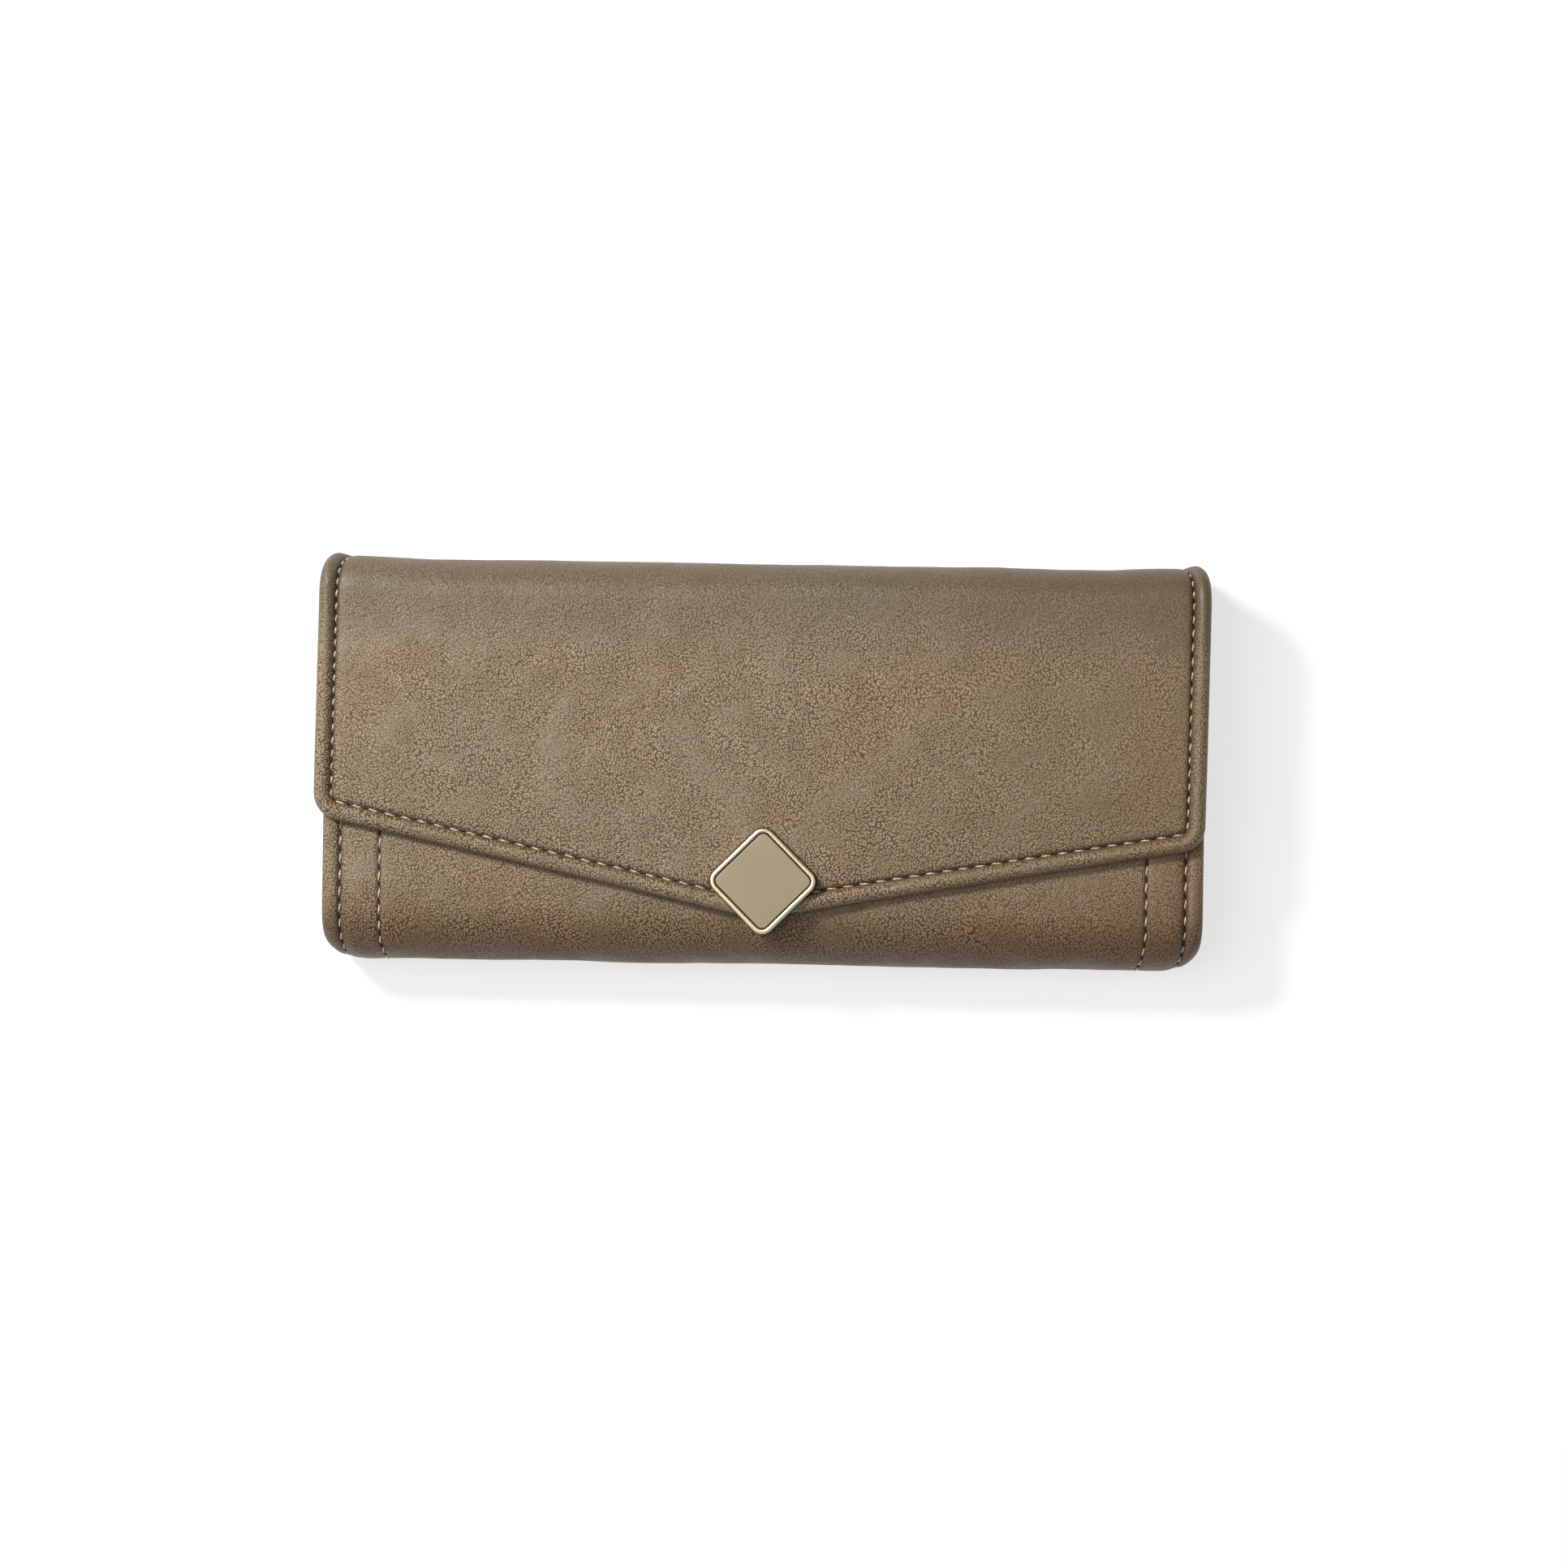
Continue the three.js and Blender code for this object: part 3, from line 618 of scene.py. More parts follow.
def pebble_distance(m, place, cell):
    """How far a point lies from the top of its pebble, with the pebbles running in three ways."""
    drift = m.add("VectorMath", {0: m.noise(place, 0.1, 2.0, output=1), 1: (0.5, 0.5, 0.5)},
                  operation="SUBTRACT")
    drift = m.add("VectorMath", {0: drift, "Scale": 3.2}, operation="SCALE")
    drifted = m.add("VectorMath", {0: place, 1: drift}, operation="ADD")
    cells = []
    for squeeze, turn, move in PEBBLE_RUNS:
        turned = m.add("VectorRotate", {"Vector": drifted, "Angle": math.radians(turn)},
                       rotation_type="Z_AXIS")
        cells.append(m.add("TexVoronoi", {"Vector": m.scaled(turned, squeeze, (move, move, 0)),
                                          "Scale": 1 / cell, "Randomness": 0.8},
                           feature="F1", voronoi_dimensions="2D"))
    first = m.ramp(m.noise(place, 0.07, 2.0), 0.47, 0.53)
    second = m.ramp(m.noise(m.scaled(place, (1, 1, 1), (70, 30, 0)), 0.08, 2.0), 0.47, 0.53)
    return m.mixed(first, cells[0], m.mixed(second, cells[1], cells[2]))


def leather_material(name, green, pink, grain=0.15, cell=0.47, gloss=0.42, cover=True):
    """Pebbled leather, with the depth of its grain and the size of its cells in millimetres."""
    m = Material(name, Specular_IOR_Level=0.5, Sheen_Weight=0.03, Sheen_Roughness=0.4)
    place = m.layer("leather")
    across, along, seam = (m.add("SeparateXYZ", {0: place}, k) for k in (0, 1, 2))
    from_top = pebble_distance(m, place, cell)
    pebble = m.ramp(from_top, 0.05, 0.54, 1.0, 0.0, steps="SMOOTHSTEP")
    patches = m.noise(place, 0.1, 3.0, 0.55)
    strength = m.product(m.ramp(patches, 0.33, 0.5, 0.45, 1.0), m.ramp(across, 25, 90, 1.0, 0.6))
    tone = m.math("ADD", m.noise(place, 0.025, 2.0, 0.5),
                  m.product(m.math("SUBTRACT", m.noise(place, 0.9, 3.0, 0.7), 0.5), 0.3))
    base = m.blend(m.ramp(tone, 0.25, 0.75), green, pink)
    if cover:
        on_fold = m.product(m.ramp(along, S_TOP - 14, S_TOP - 4),
                            m.ramp(along, S_FLAP - 4, S_FLAP + 14, 1.0, 0.0))
        strength = m.product(strength, m.ramp(on_fold, 0, 1, 1.0, 0.35))
        at_bottom = m.product(m.ramp(along, S_BOTTOM - 8, S_BOTTOM + 10),
                              m.ramp(along, S_BACK - 10, S_BACK + 8, 1.0, 0.0))
        # Painted shade: the cover gets darker along the bottom fold, over the top fold and towards
        # the right side.
        base = m.tinted(base, BOTTOM_PAINTED_SHADE, at_bottom)
        base = m.tinted(base, TOP_FOLD_PAINTED_SHADE, on_fold)
        base = m.tinted(base, RIGHT_SIDE_PAINTED_SHADE, m.ramp(across, 10, 80))
    worked = m.product(pebble, strength)
    fine = m.noise(place, 4.2, 3.0, 0.65)
    height = m.math("ADD", worked, m.product(fine, 0.15))
    height = m.math("ADD", height, m.product(m.noise(place, 0.6, 2.0), 0.9))
    valley = m.product(m.ramp(from_top, 0.42, 0.6), strength)
    # Painted shade in the grain's valleys and along the seams.
    shade = m.math("MAXIMUM", m.product(valley, 0.85), m.product(seam, 0.9))
    # Painted highlight on the pebbles' tops.
    top = m.tinted(base, PEBBLE_TOP_PAINTED_HIGHLIGHT, m.product(worked, 0.85))
    m.color(m.blend(shade, top, m.tinted(base, VALLEY_AND_SEAM_PAINTED_SHADE)))
    m.set(m.shader.inputs["Roughness"],
          m.ramp(m.math("ADD", patches, m.product(fine, 0.2)), 0.4, 0.8, gloss, gloss + 0.14))
    m.normal(m.bump(height, grain))
    return m.made


def darker(color, share):
    return (*[share * v for v in color[:3]], 1)


def cloth_material(name, color, thread=0.42):
    """Fine twill, with its threads' pitch in millimetres."""
    m = Material(name, roughness=0.85, Sheen_Weight=0.25, Sheen_Roughness=0.5)
    place = m.layer("leather")
    turned = m.add("VectorRotate", {"Vector": place, "Angle": math.radians(32)},
                   rotation_type="Z_AXIS")
    ribs = m.add("TexWave", {"Vector": turned, "Scale": 0.314 / thread, "Distortion": 0.6,
                             "Detail": 1.0}, 1, wave_type="BANDS")
    soft = m.noise(place, 0.3, 3.0)
    tint = m.blend(m.ramp(soft, 0.3, 0.7, 0.0, 0.35), color, rgb("2a2018"))
    m.color(m.blend(m.ramp(ribs, 0.0, 1.0, 0.35, 0.0), tint, rgb("1c1510")))
    m.normal(m.bump(ribs, 0.05))
    return m.made


def metal_material(name, color, roughness):
    m = Material(name, metallic=1.0)
    place = m.add("TexCoord", {}, "Object")
    streaks = m.noise(m.scaled(place, (250, 1500, 900)), 1.0, 2.0, flat=False)
    smudge = m.noise(place, 180, 2.0, flat=False)
    m.set(m.shader.inputs["Roughness"],
          m.ramp(smudge, 0.25, 0.75, roughness * 0.8, roughness * 1.35))
    m.color(m.blend(m.ramp(smudge, 0.3, 0.75, 0.0, 0.25), color, darker(color, 0.8)))
    m.normal(m.bump(streaks, 0.0008))
    return m.made


def thread_material(name, color):
    m = Material(name, roughness=0.65, Sheen_Weight=0.3)
    place = m.layer("thread")
    twist = m.add("TexWave", {"Vector": place, "Scale": 0.5, "Distortion": 0.4}, 1,
                  wave_type="BANDS", bands_direction="DIAGONAL")
    dirt = m.noise(place, 0.6, 2.0)
    tint = m.blend(m.ramp(dirt, 0.35, 0.7, 0.0, 0.55), color, rgb("a08a66"))
    m.color(m.blend(m.ramp(twist, 0.0, 1.0, 0.45, 0.0), tint, rgb("7b6545")))
    m.normal(m.bump(twist, 0.06))
    return m.made


def plain_material(name, color, roughness, scale=1500, depth=0.01, metallic=0.0, **sockets):
    """A uniform stuff with a fine grain and a slightly uneven tone."""
    m = Material(name, metallic=metallic, **sockets)
    place = m.add("TexCoord", {}, "Object")
    grain = m.noise(place, scale, 3.0, 0.6, flat=False)
    tone = m.noise(place, 60, 2.0, flat=False)
    m.color(m.blend(m.ramp(tone, 0.35, 0.65, 0.0, 0.3), color, darker(color, 0.82)))
    m.set(m.shader.inputs["Roughness"], m.ramp(grain, 0.3, 0.7, roughness * 0.9, roughness * 1.1))
    m.normal(m.bump(grain, depth))
    return m.made


COVER = leather_material("cover_leather", rgb("7f7056", 0.87), rgb("836d53", 0.87))
INNER = leather_material("inner_leather", rgb("7a684f"), rgb("80664a"), grain=0.07, cell=0.5,
                         cover=False)
LINING = cloth_material("lining_twill", rgb("6a5a48"))
TAPE = cloth_material("zip_tape_weave", rgb("6b5b49"), 0.6)
THREAD = thread_material("stitching_thread", rgb("dccfb0"))
# Near-black painted shade for the needle holes, which are flat pieces lying in the seam's groove.
HOLE = plain_material("needle_hole_painted_shade", rgb("120e0b"), 0.95)
GOLD = metal_material("pale_gold_plate", rgb("eee0ba"), 0.4)
BRASS = metal_material("brass_plate", rgb("cdb88a"), 0.3)
LACQUER = plain_material("taupe_lacquer", rgb("9c8d71"), 0.5, 900, 0.002)
# Black for the gasket in the emblem's gap, and painted shadow for the ring round the emblem's foot.
GAP = plain_material("black_gasket_and_painted_shadow", rgb("15120f"), 0.6)
BOARD = plain_material("grey_board", rgb("8c8478"), 0.9, 700, 0.05)
IRON = plain_material("magnet_iron", rgb("2d2b2a"), 0.45, 1500, 0.02, metallic=0.7)

# ------------------------------------------------------------------ the cover


def cover_grids():
    """x and s of the cover's three pieces, which meet in the middle of the back and spine."""
    flat = column_x(HALF_BODY)
    flap = rows_from_edge(FLAP_EDGE, -1, S_FLAP, column_x(HALF_FLAP), 1.4)
    return {
        "front": joined_rows(rows_from_edge(FRONT_EDGE, 1, S_BOTTOM, flat, 1.5),
                             rows_along(S_BOTTOM, S_BACK, 1.0),
                             rows_along(S_BACK, S_BACK_MIDDLE, 1.6)),
        "back": joined_rows(rows_along(S_BACK_MIDDLE, S_TOP, 1.6),
                            rows_along(S_TOP, S_SPINE_MIDDLE, 0.8)),
        "flap": joined_rows(rows_along(S_SPINE_MIDDLE, S_FLAP, 0.8), from_end(flap)),
    }


def bend_front(obj):
    """Bakes the piece's transform into its mesh."""
    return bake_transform(obj)


def bend_crease(obj):
    """Bakes the piece's transform into its mesh."""
    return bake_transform(obj)


def bend_back(obj):
    return bend_crease(obj)


def bend_flap(obj):
    return bend_crease(obj)


BEND = {"front": bend_front, "back": bend_back, "flap": bend_flap}
COVER_NODES = {
    "front": ["front_leather", "bottom_fold_leather"],
    "back": ["back_leather"],
    "flap": ["flap_leather", "spine_leather", "flap_padding"],
}


def cut_round_hole(obj, centre, radius, depth):
    """Takes a round recess out of a mesh, for a fitting that sits in it."""
    drill = lathe("drill", (*centre, 0), [(radius, depth[0]), (radius, depth[1])], HOLE)
    modifier = obj.modifiers.new("hole", "BOOLEAN")
    modifier.operation = "DIFFERENCE"
    modifier.solver = "EXACT"
    modifier.object = drill
    cut = bpy.data.meshes.new_from_object(obj.evaluated_get(bpy.context.evaluated_depsgraph_get()))
    obj.modifiers.clear()
    obj.data = cut
    bpy.data.objects.remove(drill)
    work = bmesh.new()
    work.from_mesh(cut)
    open_edges = [edge for edge in work.edges if len(edge.link_faces) == 1]
    bmesh.ops.holes_fill(work, edges=open_edges)
    work.to_mesh(cut)
    work.free()


def make_cover():
    for part, (x, s) in cover_grids().items():
        distance = edge_distance(x, s)
        piece = make_sheet(f"cover_{part}", x, s, relief(x, s, distance), inner_face(distance), COVER)
        if part == "front":
            cut_round_hole(piece, SNAP[:2], SNAP_RADIUS - 0.45, (FRONT_Z - 1.65, FRONT_Z + 3))
        BEND[part](piece)
        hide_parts(*COVER_NODES[part])


# ------------------------------------------------------------------ stitching

STITCH = {"share": 0.62, "half_width": 0.21, "half_height": 0.2, "slant": 0.13}
NEEDLE_HOLE = {"overlap": 1.25, "half_width": 0.33, "slant": 32}
STATIONS = np.linspace(0, 1, 8)
AROUND = np.linspace(0, 2 * math.pi, 8, endpoint=False)


def cover_surface(x, s, lift):
    """The place that is lifted this far off the cover's outer face."""
    return cover_point(x, s, relief(x, s, edge_distance(x, s)) + lift)


def flat_surface(level, facing):
    """A surface in X and Y at one level, with its face turned up (1) or down (-1)."""
    return lambda x, y, lift: np.stack(np.broadcast_arrays(x, y, level + facing * lift), -1)


def frame_along(surface, x, s, lift):
    """Places on a surface with the directions along and across each row and out of it."""
    place = surface(x, s, lift)
    out = surface(x, s, lift + 1) - place
    out /= np.linalg.norm(out, axis=-1, keepdims=True)
    along = np.gradient(place, axis=-2)
    along /= np.linalg.norm(along, axis=-1, keepdims=True)
    return place, along, np.cross(out, along), out


def spread_evenly(path, pitch):
    """How many stitches fill a path, and the pitch that spreads them evenly."""
    length = line_length(path)
    count = max(1, round(length / pitch))
    return count, length / count


def stitch_rings(path, pitch, surface=cover_surface):
    """Rings of every stitch on a path in the surface, with the thread's own coordinates."""
    count, pitch = spread_evenly(path, pitch)
    centres = (np.arange(count)[:, None] + 0.5) * pitch
    distance = centres + (STATIONS - 0.5) * STITCH["share"] * pitch
    flat = along_line(path, distance)
    arch = np.sin(np.pi * STATIONS) ** 0.7
    lift = -0.2 + 0.44 * arch
    place, _, across, out = frame_along(surface, flat[..., 0], flat[..., 1], lift)
    wobble = np.random.default_rng(count).uniform(-0.05, 0.05, (count, 1, 1))
    place = place + across * (STITCH["slant"] * (1 - 2 * STATIONS)[:, None] + wobble)
    taper = (0.55 + 0.45 * arch)[:, None]
    rings = (place[..., None, :]
             + across[..., None, :] * (STITCH["half_width"] * taper * np.cos(AROUND))[..., None]
             + out[..., None, :] * (STITCH["half_height"] * taper * np.sin(AROUND))[..., None])
    own = np.broadcast_to(np.stack(np.broadcast_arrays(
        distance[..., None], AROUND * STITCH["half_width"], centres[..., None]), -1), rings.shape)
    return rings, own


def hole_rings(path, pitch, surface=cover_surface):
    """A slanted needle hole between every two stitches, as a flat lens in the groove, painted
    near-black as the hole's shade.
    """
    count, pitch = spread_evenly(path, pitch)
    centres = np.arange(count + 1) * pitch
    half_gap = 0.5 * (1 - STITCH["share"]) * pitch
    flat = along_line(path, centres[:, None] + np.array([-0.3, 0.0, 0.3]))
    frames = frame_along(surface, flat[..., 0], flat[..., 1], 0.0)
    place, along, across, out = (part[:, 1, None, :] for part in frames)
    reach, width = half_gap * NEEDLE_HOLE["overlap"], NEEDLE_HOLE["half_width"]
    slant = math.radians(NEEDLE_HOLE["slant"])
    direction = along * math.cos(slant) + across * math.sin(slant)
    sideways = np.cross(out, direction)
    angles = np.linspace(0, 2 * math.pi, 10, endpoint=False)[:, None]
    rings = []
    for size, lift in ((0.3, -0.1), (1.0, 0.05), (0.55, 0.09)):
        rings.append(place + size * (direction * reach * np.cos(angles)
                                     + sideways * width * np.sin(angles)) + out * lift)
    return np.stack(rings, 1)


def many_rings(name, stacks, material, layers=None):
    """One object of many closed stacks: stacks is (stack, ring, point, xyz)."""
    count, rings, around = stacks.shape[:3]
    faces = []
    for k in range(count):
        faces += ring_faces(rings, around, start=k * rings * around)
    return make_object(name, stacks.reshape(-1, 3), faces, material, layers)


def make_stitches(name, runs):
    """The thread and the needle holes of several runs, each a path, its pitch and its surface."""
    made = [stitch_rings(*run) for run in runs]
    thread = many_rings(f"{name}_stitches", np.concatenate([rings for rings, _ in made]), THREAD,
                        {"thread": np.concatenate([own for _, own in made])})
    holes = many_rings(f"{name}_holes", np.concatenate([hole_rings(*run) for run in runs]), HOLE)
    return thread, holes


BODY_PITCH = 3.7
FLAP_SIDE_PITCH = 2.85
INNER_PITCH = 2.6


def straight_path(side, inset, start, end):
    """A path that keeps its distance to the sheet's side."""
    s = np.linspace(start, end, max(2, int(abs(end - start) / 0.5)))
    return np.column_stack([side * (half_width(s) - inset), s])


def edge_runs():
    """The stitching of each piece of the cover, as paths with their pitches."""
    runs = {"front": [], "back": [], "flap": []}
    front_edge = front_outline(EDGE_SEAM)[1:-1]
    left = straight_path(-1, EDGE_SEAM, S_BACK_MIDDLE, S_EDGE + 8)
    right = straight_path(1, EDGE_SEAM, S_EDGE + 8, S_BACK_MIDDLE)
    runs["front"].append((np.concatenate([left, front_edge, right]), BODY_PITCH))
    edge = flap_outline(EDGE_SEAM)[1:-1]
    turn = len(edge) // 6
    left = straight_path(-1, EDGE_SEAM, S_SPINE_MIDDLE, S_FLAP + 30)
    right = straight_path(1, EDGE_SEAM, S_FLAP + 30, S_SPINE_MIDDLE)
    runs["flap"] += [
        (np.concatenate([left, edge[:turn + 1]]), FLAP_SIDE_PITCH),
        (edge[turn:-turn], BODY_PITCH),
        (np.concatenate([edge[-turn - 1:], right]), FLAP_SIDE_PITCH),
    ]
    for side in (-1, 1):
        runs["front"].append(
            (straight_path(side, GUSSET_SEAM, S_EDGE + 6, S_BACK_MIDDLE), BODY_PITCH))
        runs["back"] += [
            (straight_path(side, EDGE_SEAM, S_BACK_MIDDLE, S_SPINE_MIDDLE), BODY_PITCH),
            (straight_path(side, GUSSET_SEAM, S_BACK_MIDDLE, S_TOP - 3), BODY_PITCH),
        ]
    return runs


def make_all_stitching():
    places = ["left_edge", "left_gusset", "right_gusset", "right_edge"]
    nodes = {part: [f"{part}_thread_{place}" for place in places] for part in ("front", "back")}
    nodes["flap"] = ["flap_thread"]
    for part, runs in edge_runs().items():
        thread, holes = make_stitches(part, runs)
        for piece in (thread, holes):
            BEND[part](piece)
        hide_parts(*nodes[part])


# ------------------------------------------------------------------ linings

LINING_INSET = 6
LINING_STEPS = np.array([0, 0.05, 0.15, 0.25, 0.6, 1.6, 4])


def make_linings():
    inset, steps = LINING_INSET, LINING_STEPS
    front = rows_from_edge(front_outline(inset), 1, S_BOTTOM, column_x(HALF_BODY - inset, steps),
                           4, steps)
    flap = rows_from_edge(flap_outline(inset), -1, S_FLAP, column_x(HALF_FLAP - inset, steps),
                          4, steps)
    grids = {
        "front": joined_rows(front, rows_along(S_BOTTOM, S_BACK_MIDDLE, 2.5, inset, steps)),
        "back": joined_rows(rows_along(S_BACK_MIDDLE, S_TOP, 4, inset, steps),
                            rows_along(S_TOP, S_SPINE_MIDDLE, 1.0, inset, steps)),
        "flap": joined_rows(rows_along(S_SPINE_MIDDLE, S_FLAP, 1.0, inset, steps), from_end(flap)),
    }
    nodes = {"front": ["front_lining", "bottom_fold_lining"], "back": ["back_lining"],
             "flap": ["flap_lining", "spine_lining"]}
    for part, (x, s) in grids.items():
        distance = np.minimum(edge_distance(x, s) - inset, 0.25).clip(0)
        round_edge = np.sqrt(1 - (1 - distance / 0.25) ** 2)
        middle = -HIDE - 0.2 + 0.03 * noise(x, s, 9, 21)
        piece = make_sheet(f"lining_{part}", x, s, middle + 0.22 * round_edge,
                           middle - 0.2 * round_edge, LINING, steps)
        BEND[part](piece)
        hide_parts(*nodes[part])


BOARD_INSET = 5


def make_flap_board():
    """The flap's board, which follows the leather that encloses it."""
    columns = column_x(HALF_FLAP - BOARD_INSET, LINING_STEPS)
    x, s = rows_from_edge(flap_outline(BOARD_INSET), -1, S_FLAP + 2, columns, 6, LINING_STEPS)
    middle = np.full(x.shape, -HIDE / 2)
    board = make_sheet("flap_board_sheet", x, s, middle + 0.25, middle - 0.25, BOARD, LINING_STEPS)
    place_on(board, "flap", "flap_board")


# ------------------------------------------------------------------ emblem and snap


def rounded_square(half_x, half_y, radius, arc_steps=8):
    """Points round a rectangle with round corners."""
    corners_at = [(1, 1, 0), (-1, 1, 90), (-1, -1, 180), (1, -1, 270)]
    points = []
    for sign_x, sign_y, first in corners_at:
        for angle in np.radians(first + np.linspace(0, 90, arc_steps + 1)):
            points.append((sign_x * (half_x - radius) + radius * math.cos(angle),
                           sign_y * (half_y - radius) + radius * math.sin(angle)))
    return np.array(points)


def stacked(name, half_x, half_y, radius, levels, material, centre, turn=0.0, tilt=None):
    """A solid of rounded rectangles at levels given as (inset, height)."""
    rings = []
    for inset, height in levels:
        ring = rounded_square(half_x - inset, half_y - inset, max(radius - inset, 0.15))
        rings.append(np.column_stack([ring, np.full(len(ring), height)]))
    rings = np.array(rings)
    c, s = math.cos(math.radians(turn)), math.sin(math.radians(turn))
    turned = rings @ np.array([[c, s, 0], [-s, c, 0], [0, 0, 1]])
    if tilt is not None:
        turned = turned[..., tilt]
    points = turned + np.array(centre, float)
    return make_object(name, points, ring_faces(len(rings), rings.shape[1]), material)


EMBLEM = {"half": 9.0, "rim": 1.0, "gap": 0.26}


def make_emblem():
    low, high = corners("emblem_frame")
    centre = (*centre_of("emblem_frame")[:2], low[2])
    height = high[2] - low[2]
    half, rim, gap = EMBLEM["half"], EMBLEM["rim"], EMBLEM["gap"]
    frame_levels = [
        (0.5, -0.3), (0.15, -0.1), (0, 0.2), (0, height - 0.5), (0.02, height - 0.3),
        (0.08, height - 0.15), (0.16, height - 0.06), (0.3, height), (rim - 0.22, height),
        (rim - 0.1, height - 0.05), (rim - 0.03, height - 0.14), (rim, height - 0.3),
        (rim, 1.35), (1.7, 1.33), (4, 1.32),
    ]
    bezel = stacked("emblem_bezel", half, half, 2.75, frame_levels, GOLD, centre, 45)
    gasket = stacked("emblem_gasket", half - rim - 0.02, half - rim - 0.02, 1.7,
                     [(0, 1.36), (0, 1.5), (0.5, 1.52), (4, 1.52)], GAP, centre, 45)
    # A thin dark ring round the emblem's foot: painted shadow where the emblem meets the leather.
    painted_shadow_outline = stacked("emblem_painted_shadow_outline", half + 0.2, half + 0.2, 2.95,
                   [(0.2, 0.1), (0, 0.16), (0, 1.05), (0.25, 1.1)], GAP, centre, 45)
    inlay_levels = [(0.1, 1.55), (0, 1.62), (0, 2.34), (0.04, 2.43), (0.12, 2.48), (0.3, 2.49),
                    (2.5, 2.5), (5, 2.51)]
    inlay = stacked("emblem_plate", half - rim - gap, half - rim - gap, 1.5, inlay_levels,
                    LACQUER, centre, 45)
    place_on(bezel, "flap", "emblem_frame")
    place_on(inlay, "flap", "emblem_inlay")
    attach(gasket, "flap")
    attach(painted_shadow_outline, "flap")


def lathe(name, centre, profile, material, closed=False, around=64):
    """A turned solid from (radius, height) points. A closed profile makes a ring."""
    angles = np.linspace(0, 2 * math.pi, around, endpoint=False)
    radius, height = np.array(profile, float).T
    rings = np.stack([radius[:, None] * np.cos(angles), radius[:, None] * np.sin(angles),
                      np.broadcast_to(height[:, None], (len(profile), around))], -1)
    faces = ring_faces(len(profile), around, not closed, not closed)
    if closed:
        last = (len(profile) - 1) * around
        for c in range(around):
            d = (c + 1) % around
            faces.append((last + c, last + d, d, c))
    return make_object(name, rings + np.array(centre, float), faces, material)


def make_snap():
    place, radius = (*SNAP[:2], 0), SNAP_RADIUS
    rim = corners("snap_socket")[1][2]
    socket = lathe("snap_socket_ring", place, [
        (3.25, rim - 1.6), (3.22, rim - 0.4), (3.3, rim - 0.16), (3.5, rim - 0.03), (3.8, rim),
        (5.2, rim + 0.02), (6.3, rim - 0.06), (6.7, rim - 0.2), (6.92, rim - 0.42),
        (radius, FRONT_Z + 0.12), (radius, FRONT_Z + 0.03), (radius - 0.5, FRONT_Z + 0.02),
        (radius - 0.5, rim - 1.6)], BRASS, closed=True)
    place_on(socket, "front", "snap_socket")
    bottom, top = (corner[2] for corner in corners("snap_stud"))
    stud = lathe("snap_stud_turned", place, [
        (1.9, bottom), (2.3, bottom + 0.06), (2.6, bottom + 0.25), (2.7, bottom + 0.55),
        (2.6, bottom + 0.9), (2.45, top - 0.62), (2.6, top - 0.5), (5.9, top - 0.47),
        (6.6, top - 0.42), (6.92, top - 0.28), (7, top - 0.12), (6.9, top)], BRASS)
    place_on(stud, "flap", "snap_stud")


# ------------------------------------------------------------------ pockets and gussets

WIDE_AXES = {0: (2, 1), 1: (0, 2), 2: (0, 1)}


def spaced(low, high, steps, step):
    """Places from low to high that are close together near both ends."""
    steps = steps[steps < 0.4 * (high - low)]
    count = max(2, round((high - low - 2 * steps[-1]) / step) + 1)
    inside = np.linspace(low + steps[-1], high - steps[-1], count)
    return np.concatenate([low + steps[:-1], inside, (high - steps[:-1])[::-1]])


def make_panel(node, body, material, shape=None, groove=None, step=3.0):
    """A soft-edged sheet in the place of a CAD node.

    shape(u, v) moves it along its thin axis, and groove is the height of a pressed line.
    """
    low, high = corners(node)
    thin = int(np.argmin(high - low))
    a, b = WIDE_AXES[thin]
    half = (high[thin] - low[thin]) / 2
    steps = np.concatenate([half * (1 - np.cos(np.radians([0, 20, 45, 70, 90]))),
                            [0.45, 0.8, 1.1, 1.35, 1.6, 1.85, 2.1, 2.6]])
    u, v = np.meshgrid(spaced(low[a], high[a], steps, step), spaced(low[b], high[b], steps, step))
    edge = np.minimum.reduce([u - low[a], high[a] - u, v - low[b], high[b] - v])
    thickness = half * np.sqrt(1 - (1 - np.clip(edge / half, 0, 1)) ** 2)
    if groove is not None:
        thickness = thickness - 0.09 * np.exp(-((v - groove) / 0.22) ** 2)
    middle = (low[thin] + high[thin]) / 2 + (0 * u if shape is None else shape(u, v))
    faces = []
    for side in (1, -1):
        place = np.empty((*u.shape, 3))
        place[..., a], place[..., b], place[..., thin] = u, v, middle + side * thickness
        own = np.stack([u, v + 400 + 200 * side, 0.3 * middle], -1)
        faces.append(np.concatenate([place, own], -1))
    rings = np.concatenate([faces[0], faces[1][:, ::-1]], axis=1)
    piece = make_object(f"{node}_sheet", rings[..., :3], ring_faces(*rings.shape[:2]), material,
                        {"leather": rings[..., 3:]})
    place_on(piece, body, node)
    return piece


def make_card_pockets():
    for panel, facing in (("back", 1), ("front", -1)):
        tops, levels = [], []
        for k in (1, 2, 3):
            node = f"{panel}_card_pocket_{k}"
            low, high = corners(node)
            ripple = lambda u, v, k=k: 0.1 * noise(u, v, 17, 30 + k) * smooth((high[1] - v) / 9)
            piece = make_panel(node, panel, INNER, ripple, groove=high[1] - 1.7)
            tops.append(high[1])
            levels.append(high[2] if facing > 0 else low[2])
        ends = tops[1:] + [low[1] + 2]
        runs = [(np.array([[0, top - 2.6], [0, end + 0.8]]), INNER_PITCH, flat_surface(level, facing))
                for top, end, level in zip(tops, ends, levels)]
        for piece in make_stitches(f"{panel}_card_pocket_middle", runs):
            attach(piece, panel)


